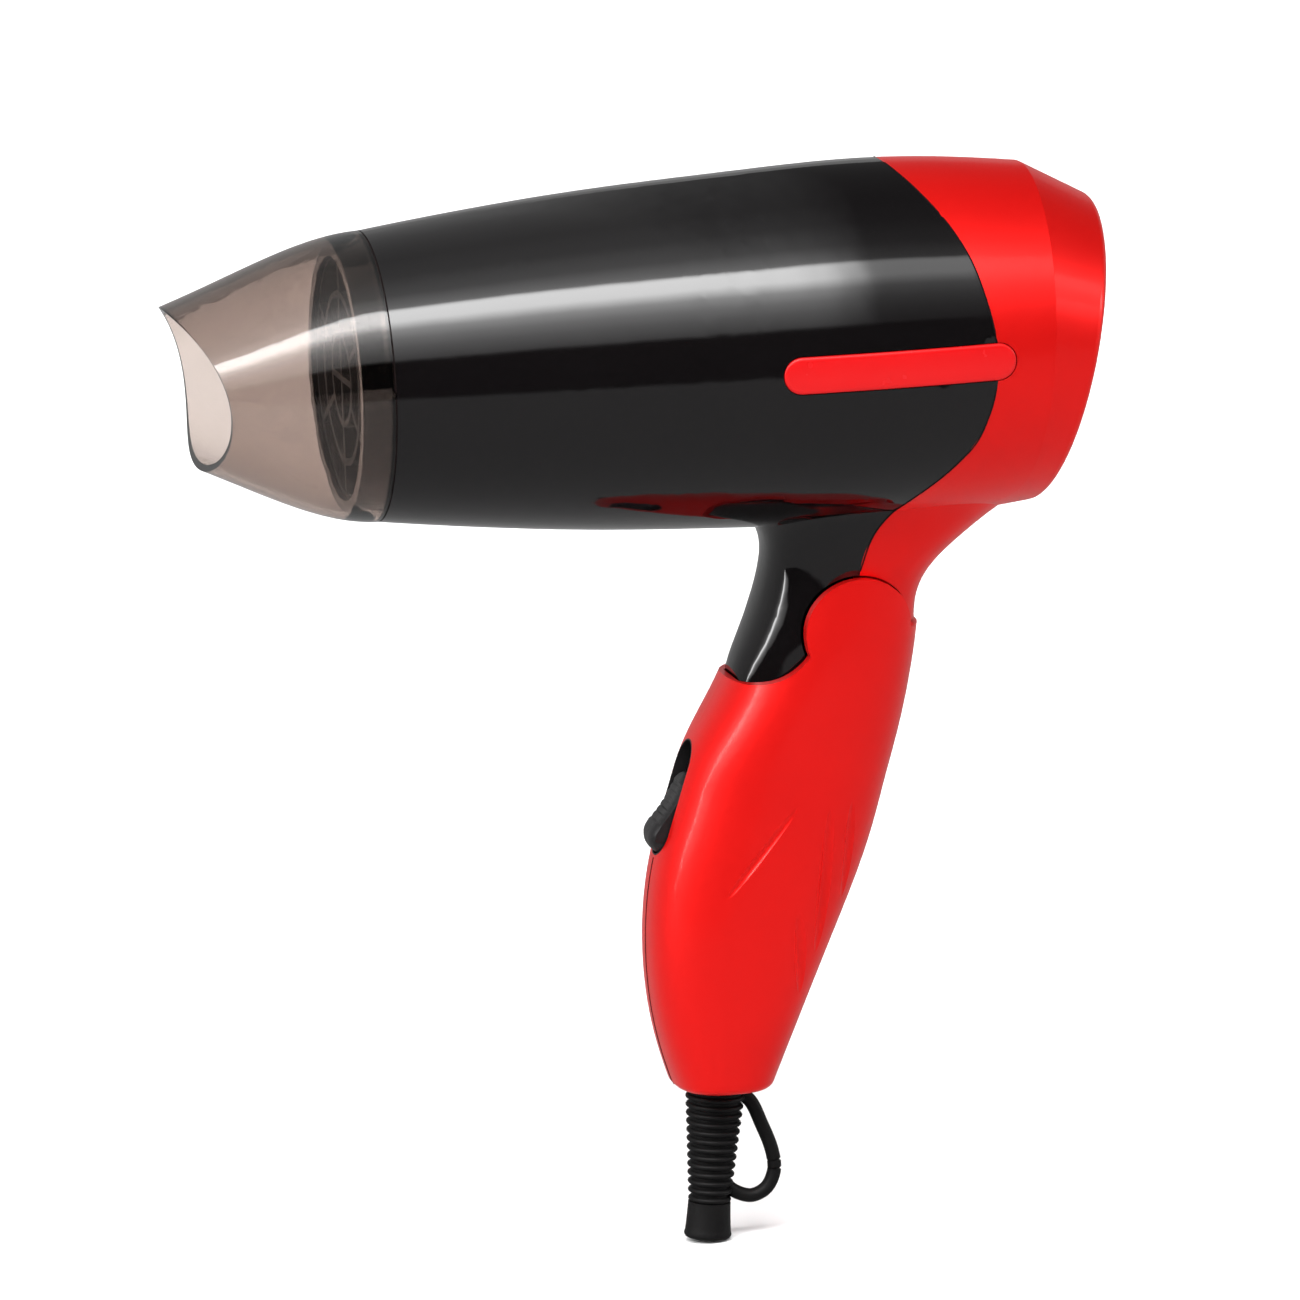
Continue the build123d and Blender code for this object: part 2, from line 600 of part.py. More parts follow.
def thermostat():
    """Bimetal cut-out riveted to the upper side of the level board, behind the coil."""
    x = cut_out_place()
    near, far = CUT_OUT_SPAN
    level = BOARD_THICKNESS / 2
    top = level + CUT_OUT_HEIGHT
    width = CUT_OUT_WIDTH / 2
    body = block(x - width, x + width, near, far, level, top)
    blade = block(x - width + 1, x + width - 1, near + 1, far + 2, top, top + BLADE_HEIGHT)
    return body + blade


def thermal_fuse():
    """One-shot fuse lying on the lower side of the level board."""
    x = cut_out_place()
    level = -BOARD_THICKNESS / 2 - FUSE_RADIUS
    near, far = FUSE_SPAN
    body = rod_y(FUSE_RADIUS, near, far, x, level)
    return body + rod_y(FUSE_WIRE, near - 2.5, far + 2, x, level)


def motor_mount():
    """Duct around the fan with a flange, stator vanes and the cup that holds the motor."""
    mount = ring_x(DUCT_RADIUS + DUCT_WALL, DUCT_RADIUS, DUCT_FRONT, DUCT_BACK)
    mount += ring_x(DUCT_FLANGE_RADIUS, DUCT_RADIUS, DUCT_BACK - DUCT_FLANGE, DUCT_BACK)
    mount += ring_x(DUCT_RADIUS + DUCT_WALL / 2, HEATER_RADIUS, DUCT_FRONT, DUCT_FRONT + HEATER_OVERLAP)
    mount += ring_x(DUCT_RADIUS + DUCT_WALL / 2, HEATER_RADIUS - HEATER_WALL, DUCT_FRONT + HEATER_OVERLAP,
                    DUCT_FRONT + HEATER_OVERLAP + DUCT_WALL)
    cup = MOTOR_RADIUS + MOTOR_CUP_WALL
    mount += ring_x(cup, MOTOR_RADIUS, VANE_FRONT, MOTOR_BACK)
    vane = block(VANE_FRONT, MOTOR_BACK - 2, -VANE_THICKNESS / 2, VANE_THICKNESS / 2,
                 MOTOR_RADIUS + MOTOR_CUP_WALL / 2, DUCT_RADIUS + DUCT_WALL / 2)
    for step in range(VANE_COUNT):
        mount += Rot(360 * step / VANE_COUNT, 0, 0) * vane
    return mount


def motor():
    """Small direct-current motor: steel can, front bearing boss and two terminals."""
    body = rod_x(MOTOR_RADIUS, MOTOR_FRONT, MOTOR_BACK)
    body = fillet(body.edges(), MOTOR_EDGE)
    body += rod_x(FRONT_BOSS_RADIUS, MOTOR_FRONT - FRONT_BOSS, MOTOR_FRONT)
    body += rod_x(BACK_BOSS_RADIUS, MOTOR_BACK, FAN_FRONT - 2 * BODY_GAP)
    for side in (-1, 1):
        edges = side * TAG_SPREAD - TAG_THICKNESS / 2, side * TAG_SPREAD + TAG_THICKNESS / 2
        body += block(MOTOR_FRONT - 4, MOTOR_FRONT + 1, *edges, -TAG_WIDTH / 2, TAG_WIDTH / 2)
    return body - rod_x(SHAFT_RADIUS + PIVOT_FIT, MOTOR_FRONT + 4, DUCT_BACK)


def rectifier_board():
    """Round circuit board on the motor's terminals, with its four diodes."""
    face = MOTOR_FRONT - FRONT_BOSS
    front = face - CIRCUIT_THICKNESS
    board = rod_x(MOTOR_RADIUS - 1, front, face)
    deep = TAG_THICKNESS / 2 + TAG_FREE
    wide = TAG_WIDTH / 2 + 2 * TAG_FREE
    for side in (-1, 1):
        board -= block(face - 3, face + 3, side * TAG_SPREAD - deep, side * TAG_SPREAD + deep, -wide, wide)
    for step in range(DIODES):
        diode = rod_y(DIODE_RADIUS, -DIODE_HALF, DIODE_HALF, front - DIODE_RADIUS + DIODE_SUNK, DIODE_RING)
        board += Rot(360 * (step + 0.5) / DIODES, 0, 0) * diode
    return board


def motor_shaft():
    return rod_x(SHAFT_RADIUS, MOTOR_FRONT + 5, FAN_FRONT + FAN_LENGTH - SHAFT_SHORT)


def fan():
    """Axial fan: cupped hub pressed on the shaft, and pitched blades."""
    tip = DUCT_RADIUS - FAN_TIP_GAP
    back = FAN_FRONT + FAN_LENGTH
    hub = rod_x(FAN_HUB_RADIUS, FAN_FRONT, back)
    hub = fillet(hub.edges().sort_by(Axis.X)[-1], FAN_HUB_ROUND)
    hub -= ring_x(FAN_HUB_RADIUS - FAN_HUB_WALL, FAN_BOSS_RADIUS, FAN_FRONT - 1, back - FAN_HUB_CROWN)
    chord = (FAN_LENGTH - 2) / cos(radians(BLADE_PITCH))
    blade = Rot(0, 0, BLADE_PITCH) * Box(chord, BLADE_THICKNESS, 2 * (tip - FAN_HUB_RADIUS + 1))
    blade = Pos((FAN_FRONT + back) / 2, 0, tip) * blade
    blades = blade
    for step in range(1, FAN_BLADES):
        blades += Rot(360 * step / FAN_BLADES, 0, 0) * blade
    blades = blades & ring_x(tip, FAN_HUB_RADIUS - 1, FAN_FRONT + 0.4, back - 0.4)
    return hub + blades - rod_x(SHAFT_RADIUS, FAN_FRONT - 1, back - SHAFT_SHORT)


def intake_grille():
    """Round guard let into the back face: rings on bars, with a skirt that snaps into the opening."""
    edge = INTAKE_RADIUS + INTAKE_LIP
    level = -INTAKE_GRILLE / 2
    guard = Pos(0, 0, level) * (Cylinder(edge, INTAKE_GRILLE) - Cylinder(INTAKE_RADIUS - 2, WIDE))
    for share in INTAKE_RINGS:
        radius = INTAKE_RADIUS * share
        ring = Cylinder(radius + INTAKE_RING / 2, INTAKE_GRILLE) - Cylinder(radius - INTAKE_RING / 2, WIDE)
        guard += Pos(0, 0, level) * ring
    bar = Pos(INTAKE_RADIUS / 2, 0, level) * Box(INTAKE_RADIUS - 1, GRILLE_BAR, INTAKE_GRILLE)
    for step in range(INTAKE_BARS):
        guard += Rot(0, 0, 360 * step / INTAKE_BARS) * bar
    skirt = Cylinder(INTAKE_RADIUS - INTAKE_FIT, INTAKE_SKIRT)
    skirt -= Cylinder(INTAKE_RADIUS - INTAKE_FIT - INTAKE_SKIRT_WALL, WIDE)
    guard += Pos(0, 0, -INTAKE_GRILLE - INTAKE_SKIRT / 2) * skirt
    return back_plane() * guard


def lint_filter():
    """Fine mesh disc welded to the end of the grille's skirt."""
    disc = Cylinder(INTAKE_RADIUS - INTAKE_FIT, FILTER_THICKNESS)
    return back_plane() * Pos(0, 0, -INTAKE_GRILLE - INTAKE_SKIRT - FILTER_THICKNESS / 2) * disc


# ---- handle ------------------------------------------------------------------------------

def handle_trim():
    """Side outline of what the handle keeps: below the front rim, with the round ear on top."""
    cusp = pivot_point(EAR_RADIUS, CUSP_ANGLE)
    crown = pivot_point(EAR_RADIUS, 90)
    notch = pivot_point(EAR_RADIUS, 0)
    rim = ThreePointArc(flat(*RIM_FRONT), flat(*RIM_LOW), cusp)
    ear = ThreePointArc(cusp, crown, notch)
    rest = Polyline(notch, flat(WIDE, PIVOT_Z), flat(WIDE, -WIDE), flat(-WIDE, -WIDE),
                    flat(-WIDE, RIM_FRONT[1]), flat(*RIM_FRONT))
    return side_prism(rim + ear + rest)


def handle_end():
    return HANDLE_STATIONS[-1][0]


def switch_plane():
    lean = radians(SWITCH_LEAN)
    travel = (sin(lean), 0, cos(lean))
    outwards = (-cos(lean), 0, sin(lean))
    return Plane(origin=(SWITCH_X, 0, SWITCH_Z), x_dir=travel, z_dir=outwards)


def switch_block(x0, x1, y0, y1, z0, z1):
    """Block in the switch's own frame: x up its travel, z outwards from the handle's front."""
    return switch_plane() * block(x0, x1, y0, y1, z0, z1)


def switch_depth():
    """Level of the switch body's top in the switch's own frame."""
    return -PLATE_DEPTH - PLATE_THICKNESS - BODY_GAP


def handle_shell():
    """Both halves as one hollow grip, before it is split down the middle."""
    outer = lofted(HANDLE_STATIONS)
    bottom = outer.faces().sort_by(Axis.Z)[0]
    outer = fillet(bottom.edges(), HANDLE_END_EDGE)
    end = handle_end() + HANDLE_WALL
    cavity = lofted(HANDLE_STATIONS, HANDLE_WALL) & block(-WIDE, WIDE, -WIDE, WIDE, end, WIDE)
    shell = (outer & handle_trim()) - cavity
    for ring in flutes():
        shell -= ring
    pad = neck_half_width() + 3 * BODY_GAP
    for side in (-1, 1):
        ear_pad = rod_y(washer_radius() + 1, *sorted((side * pad, side * (pad + 2))), PIVOT_X, PIVOT_Z)
        shell += ear_pad & outer
    tongue_room = lofted(NECK_STATIONS, -BODY_GAP) & pivot_rod(TONGUE_RADIUS + BODY_GAP)
    shell -= tongue_room & block(0, PIVOT_X, -WIDE, WIDE, -WIDE, PIVOT_Z)
    shell -= ear_relief(BODY_GAP)
    shell -= pivot_rod(washer_radius() + BODY_GAP, pad)
    stub = PIVOT_TUBE_RADIUS - PIVOT_TUBE_WALL - PIVOT_FIT
    inner = HUB_HOLLOW + 0.5
    for side in (-1, 1):
        shell += rod_y(stub, *sorted((side * inner, side * (pad + 1))), PIVOT_X, PIVOT_Z)
    ribs = switch_ribs() + capacitor_rib() + clamp_bosses() + screw_bosses()
    shell += ribs & lofted(HANDLE_STATIONS, HANDLE_WALL / 2)
    window = extrude(SlotOverall(WINDOW_LENGTH, WINDOW_WIDTH), amount=2 * HANDLE_WALL, both=True)
    shell -= switch_plane() * window
    return shell - rod_z(BOOT_NECK_RADIUS, handle_end() - 1, end + 1)


def grip_side(x, z):
    """Distance from the mid-plane to the handle's outside at a place seen from the side."""
    front = station_value(HANDLE_STATIONS, z, 1)
    back = station_value(HANDLE_STATIONS, z, 2)
    along = abs(2 * x - front - back) / (back - front)
    return station_value(HANDLE_STATIONS, z, 3) * (1 - along ** OUTLINE_POWER) ** (1 / OUTLINE_POWER)


def grip_normal(x, z):
    """Outward direction (x, y) of the handle's outside at a place seen from the side."""
    front = station_value(HANDLE_STATIONS, z, 1)
    back = station_value(HANDLE_STATIONS, z, 2)
    half = station_value(HANDLE_STATIONS, z, 3)
    along = (2 * x - front - back) / (back - front)
    lengthwise = abs(along) ** (OUTLINE_POWER - 1) / (back - front) * (2 if along > 0 else -2)
    return lengthwise, (grip_side(x, z) / half) ** (OUTLINE_POWER - 1) / half


def flutes():
    """Large rings whose edges press leaf-shaped flutes into both sides of the grip."""
    rings = []
    for side in (-1, 1):
        for low, high, depth, radius in FLUTES:
            x = (low[0] + high[0]) / 2
            z = (low[1] + high[1]) / 2
            lengthwise, sideways = grip_normal(x, z)
            out = Vector(lengthwise, side * sideways, 0)
            run = Vector(high[0] - low[0], side * (grip_side(*high) - grip_side(*low)), high[1] - low[1])
            out = (out - run * (out.dot(run) / run.dot(run))).normalized()
            chord = Vector(x, side * (grip_side(*high) + grip_side(*low)) / 2, z)
            bulge = (Vector(x, side * grip_side(x, z), z) - chord).dot(out)
            reach = run.length ** 2 / 8 / max(depth - bulge, FLUTE_FLATTEST)
            centre = Vector(x, side * grip_side(x, z), z) + out * (reach - depth)
            place = Plane(origin=centre, x_dir=out, z_dir=run.cross(out))
            rings.append(place * Torus(reach - radius, radius))
    return rings


def rod_z(radius, z0, z1):
    return Pos(BOOT_X, 0, (z0 + z1) / 2) * Cylinder(radius, z1 - z0)


def switch_ribs():
    """Two ribs in each half that hold the switch body by its sides and its back."""
    top = switch_depth() - 1
    back = switch_depth() - SWITCH_HEIGHT
    ribs = None
    for side in (-1, 1):
        for place in (-SWITCH_LENGTH / 3, SWITCH_LENGTH / 3):
            reach = sorted((side * SWITCH_WIDTH / 2, side * WIDE))
            rib = switch_block(place - 1, place + 1, *reach, back - 2, top)
            hook = sorted((side * (SWITCH_WIDTH / 2 - 1.5), side * WIDE))
            rib += switch_block(place - 1, place + 1, *hook, back - 2, back)
            ribs = rib if ribs is None else ribs + rib
    return ribs


def capacitor_rib():
    width = CAPACITOR_SIZE[1] / 2
    return block(CAPACITOR_X - 4, CAPACITOR_X + 4, -WIDE, -width, CAPACITOR_Z - 1, CAPACITOR_Z + 1)


def clamp_places():
    return [(BOOT_X - CLAMP_SPREAD, CLAMP_Z), (BOOT_X + CLAMP_SPREAD, CLAMP_Z)]


def clamp_bosses():
    bosses = [rod_y(CLAMP_BOSS_RADIUS, -WIDE, CORD_RADIUS, x, z) for x, z in clamp_places()]
    holes = [rod_y(CLAMP_SCREW_RADIUS, -CORD_RADIUS, WIDE, x, z) for x, z in clamp_places()]
    return bosses[0] + bosses[1] - holes[0] - holes[1]


def screw_bosses():
    """Bosses of the screws that join the halves, tapped on the left and plain on the right."""
    bosses = None
    for x, z in HANDLE_SCREWS:
        boss = rod_y(BOSS_RADIUS, -WIDE, 0, x, z) - rod_y(HANDLE_SCREW_RADIUS, -HANDLE_HEAD_DEPTH, 0, x, z)
        boss += rod_y(BOSS_RADIUS, 0, HANDLE_HEAD_DEPTH, x, z)
        boss += rod_y(HANDLE_HEAD_RADIUS + 1.5, HANDLE_HEAD_DEPTH - 1.5, WIDE, x, z)
        bosses = boss if bosses is None else bosses + boss
    return bosses


def handle_left(shell):
    return shell & half_space(-1)


def handle_right(shell):
    """Right half; its two clamp bosses belong to the left half, and its screw holes are open."""
    half = shell & half_space(1)
    for x, z in HANDLE_SCREWS:
        half -= rod_y(HANDLE_SCREW_RADIUS + SCREW_GAP, -1, WIDE, x, z)
        half -= rod_y(HANDLE_HEAD_RADIUS + SCREW_GAP, HANDLE_HEAD_DEPTH, WIDE, x, z)
    return half.solids().sort_by(SortBy.VOLUME)[-1]


def clamp_tips():
    """Ends of the clamp bosses that stand past the mid-plane, part of the left half."""
    return clamp_bosses() & block(0, WIDE, 0, CORD_RADIUS, -WIDE, 0)


def handle_screws():
    screws = []
    for x, z in HANDLE_SCREWS:
        screw = rod_y(HANDLE_SCREW_RADIUS, -HANDLE_HEAD_DEPTH + 1, HANDLE_HEAD_DEPTH, x, z)
        screw += rod_y(HANDLE_HEAD_RADIUS, HANDLE_HEAD_DEPTH, HANDLE_HEAD_DEPTH + HANDLE_HEAD, x, z)
        top = HANDLE_HEAD_DEPTH + HANDLE_HEAD
        for width, height in ((CROSS_SLOT, SCREW_SLOT), (SCREW_SLOT, CROSS_SLOT)):
            screw -= block(x - width / 2, x + width / 2, top - 1, top + 1, z - height / 2, z + height / 2)
        screws.append(screw)
    return Compound(children=screws)


def hinge_tube():
    half = neck_half_width()
    tube = rod_y(PIVOT_TUBE_RADIUS, -half, half, PIVOT_X, PIVOT_Z)
    tube -= rod_y(PIVOT_TUBE_RADIUS - PIVOT_TUBE_WALL, -WIDE, WIDE, PIVOT_X, PIVOT_Z)
    middle = HUB_HOLLOW - 1
    return tube - block(PIVOT_X, WIDE, -middle, middle, -WIDE, PIVOT_Z)


def washer_radius():
    return HUB_RADIUS - HUB_SHOULDER - 0.5


def hinge_washers():
    """Friction washer on each stub axle, between the neck's cheek and the handle's ear."""
    inner = neck_half_width() + BODY_GAP
    outer = inner + 2 * BODY_GAP
    washers = []
    for side in (-1, 1):
        near, far = sorted((side * inner, side * outer))
        washers.append(rod_y(washer_radius(), near, far, PIVOT_X, PIVOT_Z))
    return washers[0] + washers[1] - pivot_rod(PIVOT_TUBE_RADIUS - PIVOT_TUBE_WALL - PIVOT_FIT)


def detent_spring():
    """Bent steel strip in the handle that clicks on the hub at both ends of the fold."""
    start = HUB_RADIUS + 1.2 * BODY_GAP
    width = HUB_HOLLOW - 1
    ring = rod_y(start + DETENT_THICKNESS, -width, width, PIVOT_X, PIVOT_Z)
    ring -= rod_y(start, -WIDE, WIDE, PIVOT_X, PIVOT_Z)
    low = pivot_point(3 * HUB_RADIUS, DETENT_START)
    high = pivot_point(3 * HUB_RADIUS, DETENT_END)
    sector = side_prism(Polyline(flat(PIVOT_X, PIVOT_Z), low, high, close=True))
    end = pivot_point(start + DETENT_THICKNESS / 2, DETENT_END - 1)
    foot = block(end[0] - 0.6, WIDE, -width, width, end[2] - DETENT_THICKNESS, end[2] + 0.2)
    return (ring & sector) + (foot & lofted(HANDLE_STATIONS, HANDLE_WALL))


# ---- switch ------------------------------------------------------------------------------

def knob_start():
    """Lower end of the knob at rest, measured up the travel from the window's centre."""
    return -WINDOW_LENGTH / 2 + KNOB_END_GAP


def switch_slider():
    """Thumb piece: humped, grooved knob on a flat plate, with a stem into the switch body."""
    start = knob_start()
    top = [(start + along, 0, out) for along, out in KNOB_OUTLINE]
    first = top[0]
    last = top[-1]
    rest = Polyline(last, (last[0], 0, -PLATE_DEPTH), (first[0], 0, -PLATE_DEPTH), first)
    knob = extrude(make_face(Spline(*top) + rest), amount=KNOB_WIDTH / 2, dir=(0, 1, 0), both=True)
    plan = Pos((first[0] + last[0]) / 2, 0) * SlotOverall(last[0] - first[0], KNOB_WIDTH)
    knob = knob & extrude(plan, WIDE, both=True)
    for step in range(KNOB_GROOVES):
        along = GROOVE_START + GROOVE_PITCH * step
        level = station_value(KNOB_OUTLINE, along, 1)
        knob -= rod_y(GROOVE_RADIUS, -WIDE, WIDE, start + along, level + GROOVE_RADIUS / 7)
    low = -WINDOW_LENGTH / 2 - PLATE_COVER - SWITCH_TRAVEL
    high = WINDOW_LENGTH / 2 + PLATE_COVER
    half = PLATE_WIDTH / 2
    plate = block(low, high, -half, half, -PLATE_DEPTH - PLATE_THICKNESS, -PLATE_DEPTH)
    bottom = -PLATE_DEPTH - PLATE_THICKNESS
    stem = STEM_SIZE / 2
    middle = -SWITCH_TRAVEL / 2
    plate += block(middle - stem, middle + stem, -stem, stem, bottom - STEM_LENGTH, bottom)
    return switch_plane() * (knob + plate)


def stem_end():
    return -PLATE_DEPTH - PLATE_THICKNESS - STEM_LENGTH


def switch_contact():
    """Brass bridge on the stem's end, which slides over the fixed contacts."""
    middle = -SWITCH_TRAVEL / 2
    stem = STEM_SIZE / 2
    return switch_block(middle - stem, middle + stem, -stem, stem, stem_end() - CONTACT_THICKNESS, stem_end())


def switch_body():
    """Slide switch block with a slot for the stem and three terminals at its back."""
    top = switch_depth()
    half = SWITCH_LENGTH / 2
    side = SWITCH_WIDTH / 2
    body = block(-half, half, -side, side, top - SWITCH_HEIGHT, top)
    room = STEM_SIZE / 2 + BODY_GAP
    floor = stem_end() - CONTACT_THICKNESS - BODY_GAP
    body -= block(-SWITCH_TRAVEL / 2 - room, SWITCH_TRAVEL / 2 + room, -room, room, floor, 1)
    under = top - SWITCH_HEIGHT
    for place in (-TERMINAL_PITCH, 0, TERMINAL_PITCH):
        body += block(place - 1, place + 1, -TERMINAL_HALF, TERMINAL_HALF, under - TERMINAL, under)
    return switch_plane() * body


def capacitor():
    length, width, height = CAPACITOR_SIZE
    body = Pos(CAPACITOR_X, 0, CAPACITOR_Z) * Box(length, width, height)
    return fillet(body.edges(), CAPACITOR_EDGE)


def cord_clamp():
    """Bar that grips the cord above the strain relief."""
    half = CLAMP_SPREAD + CLAMP_BOSS_RADIUS
    bar = block(BOOT_X - half, BOOT_X + half, CORD_RADIUS, CORD_RADIUS + CLAMP_THICKNESS,
                CLAMP_Z - CLAMP_HEIGHT / 2, CLAMP_Z + CLAMP_HEIGHT / 2)
    for x, z in clamp_places():
        bar -= rod_y(CLAMP_SCREW_RADIUS + SCREW_GAP, 0, WIDE, x, z)
    return bar


def clamp_screws():
    level = CORD_RADIUS + CLAMP_THICKNESS
    screws = []
    for x, z in clamp_places():
        screw = rod_y(CLAMP_SCREW_RADIUS, -CORD_RADIUS + 1, level, x, z)
        screw += rod_y(2 * CLAMP_SCREW_RADIUS, level, level + 1.5, x, z)
        screws.append(screw)
    return Compound(children=screws)


# ---- strain relief -----------------------------------------------------------------------

def boot_plane():
    lean = radians(BOOT_LEAN)
    aside = (cos(lean), 0, -sin(lean))
    down = (-sin(lean), 0, -cos(lean))
    return Plane(origin=(BOOT_X, 0, handle_end()), x_dir=aside, z_dir=down)


def boot_profile():
    """Half section of the boot below the handle: tapered ribs, then the smooth bell."""
    ribs_end = BOOT_LENGTH - BELL_LENGTH
    pitch = (ribs_end - BOOT_COLLAR) / RIB_COUNT
    points = [(0, 0, -2), (BOOT_TOP_RADIUS, 0, -2), (BOOT_TOP_RADIUS, 0, BOOT_COLLAR)]
    for step in range(RIB_COUNT):
        level = BOOT_COLLAR + pitch * step
        radius = BOOT_TOP_RADIUS + (BOOT_END_RADIUS - BOOT_TOP_RADIUS) * (level + pitch) / ribs_end
        points += [(radius - RIB_GROOVE, 0, level), (radius - RIB_GROOVE, 0, level + 0.4 * pitch),
                   (radius, 0, level + 0.4 * pitch), (radius, 0, level + pitch)]
    points += [(BELL_RADIUS - 0.1, 0, ribs_end + 0.45 * BELL_LENGTH), (BELL_RADIUS, 0, BOOT_LENGTH - 1.6),
               (BELL_RADIUS - 0.8, 0, BOOT_LENGTH), (0, 0, BOOT_LENGTH)]
    return make_face(Polyline(*points, close=True))


def loop_path():
    points = [flat(BOOT_X + x, handle_end() + z) for x, z in LOOP_POINTS]
    return FilletPolyline(*points, radius=LOOP_BENDS)


def strain_relief():
    """Ribbed rubber boot with a flange inside the handle and a moulded hanging loop behind it."""
    end = handle_end()
    boot = boot_plane() * revolve(boot_profile(), Axis.Z, 360)
    boot = boot & block(-WIDE, WIDE, -WIDE, WIDE, -WIDE, end)
    boot += rod_z(BOOT_NECK_RADIUS, end - 0.5, end + HANDLE_WALL + 0.5)
    boot += rod_z(BOOT_FLANGE_RADIUS, end + HANDLE_WALL, end + HANDLE_WALL + BOOT_FLANGE)
    path = loop_path()
    boot += sweep(Plane(path @ 0, z_dir=path % 0) * Circle(LOOP_RADIUS), path=path)
    bore = Pos(0, 0, BOOT_LENGTH / 2) * Cylinder(CORD_RADIUS, 2 * BOOT_LENGTH)
    return boot - boot_plane() * bore


# ---- leads -------------------------------------------------------------------------------

def lead_pair(points, bends):
    leads = []
    for side in (-1, 1):
        corners = [(x, side * LEAD_SPREAD, z) for x, z in points]
        path = FilletPolyline(*corners, radius=bends) if bends else Line(*corners)
        leads.append(sweep(Plane(path @ 0, z_dir=path % 0) * Circle(LEAD_RADIUS), path=path))
    return leads


def switch_point(along, out):
    place = switch_plane().from_local_coords((along, 0, out))
    return (place.X, place.Z)


def handle_leads():
    """Leads from the cord to the switch, and from the switch towards the pivot."""
    back = switch_depth() - SWITCH_HEIGHT - TERMINAL
    entry = [switch_point(-TERMINAL_PITCH, back - LEAD_STUB), switch_point(-TERMINAL_PITCH, back)]
    exit_stub = [switch_point(TERMINAL_PITCH, back), switch_point(TERMINAL_PITCH, back - LEAD_STUB)]
    supply = lead_pair(CORD_LEAD + entry, CORD_LEAD_BENDS)
    onward = lead_pair(exit_stub + SWITCH_LEAD, SWITCH_LEAD_BENDS)
    return Compound(children=supply + onward)


def barrel_leads():
    return Compound(children=lead_pair(BARREL_LEAD, BARREL_LEAD_BENDS))


# ---- everything --------------------------------------------------------------------------

def all_pieces():
    shell = whole_shell()
    front = seam_front()
    grip = handle_shell()
    return {
        "front_shell": front_shell(shell, front),
        "rear_shell": rear_shell(shell, front),
        "side_strip_left": side_strip(-1),
        "side_strip_right": side_strip(1),
        "body_screws": body_screws(),
        "nozzle": nozzle(),
        "outlet_grille": outlet_grille(),
        "heater_tube": heater_tube(),
        "heater_frame": heater_frame(),
        "heater_coil": heater_coil(),
        "thermostat": thermostat(),
        "thermal_fuse": thermal_fuse(),
        "motor_mount": motor_mount(),
        "motor": motor(),
        "rectifier_board": rectifier_board(),
        "motor_shaft": motor_shaft(),
        "fan": fan(),
        "intake_grille": intake_grille(),
        "lint_filter": lint_filter(),
        "hinge_tube": hinge_tube(),
        "hinge_washers": hinge_washers(),
        "detent_spring": detent_spring(),
        "handle_left": handle_left(grip) + clamp_tips(),
        "handle_right": handle_right(grip),
        "handle_screws": handle_screws(),
        "switch_slider": switch_slider(),
        "switch_contact": switch_contact(),
        "switch_body": switch_body(),
        "capacitor": capacitor(),
        "cord_clamp": cord_clamp(),
        "clamp_screws": clamp_screws(),
        "strain_relief": strain_relief(),
        "handle_leads": handle_leads(),
        "barrel_leads": barrel_leads(),
    }


os.makedirs("parts", exist_ok=True)
for name, piece in all_pieces().items():
    export_step(piece, f"parts/{name}.step")
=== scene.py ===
from math import cos, pi, radians, sin

import bmesh
import bpy
import numpy as np
from mathutils import Matrix, Vector
from mathutils.bvhtree import BVHTree


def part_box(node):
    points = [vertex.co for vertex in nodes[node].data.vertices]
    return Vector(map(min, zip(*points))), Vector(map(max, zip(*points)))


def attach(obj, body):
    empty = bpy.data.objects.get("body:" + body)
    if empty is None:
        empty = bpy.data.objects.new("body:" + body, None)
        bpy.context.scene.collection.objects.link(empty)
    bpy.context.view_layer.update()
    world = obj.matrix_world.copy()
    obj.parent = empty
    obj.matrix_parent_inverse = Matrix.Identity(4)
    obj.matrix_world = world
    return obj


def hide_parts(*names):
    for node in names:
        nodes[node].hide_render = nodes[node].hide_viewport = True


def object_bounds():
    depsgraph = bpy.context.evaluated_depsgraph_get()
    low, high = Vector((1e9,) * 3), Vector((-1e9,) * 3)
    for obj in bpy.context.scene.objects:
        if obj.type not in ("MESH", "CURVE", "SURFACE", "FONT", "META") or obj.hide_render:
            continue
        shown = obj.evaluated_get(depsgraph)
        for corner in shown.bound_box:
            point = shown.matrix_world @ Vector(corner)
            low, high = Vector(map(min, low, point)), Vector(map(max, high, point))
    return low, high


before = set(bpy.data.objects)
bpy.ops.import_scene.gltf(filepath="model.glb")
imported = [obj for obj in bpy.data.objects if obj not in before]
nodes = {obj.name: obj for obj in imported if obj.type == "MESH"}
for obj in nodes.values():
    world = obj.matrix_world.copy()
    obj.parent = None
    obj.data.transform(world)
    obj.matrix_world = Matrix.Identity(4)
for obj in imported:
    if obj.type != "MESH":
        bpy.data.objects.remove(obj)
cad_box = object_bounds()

# ---- Front shell -------------------------------------------------------------------------
# The front of the barrel with the hinge neck, moulded in black gloss ABS. The mould was
# polished, so the skin is smooth, with only a faint ripple and a few dull handling marks.


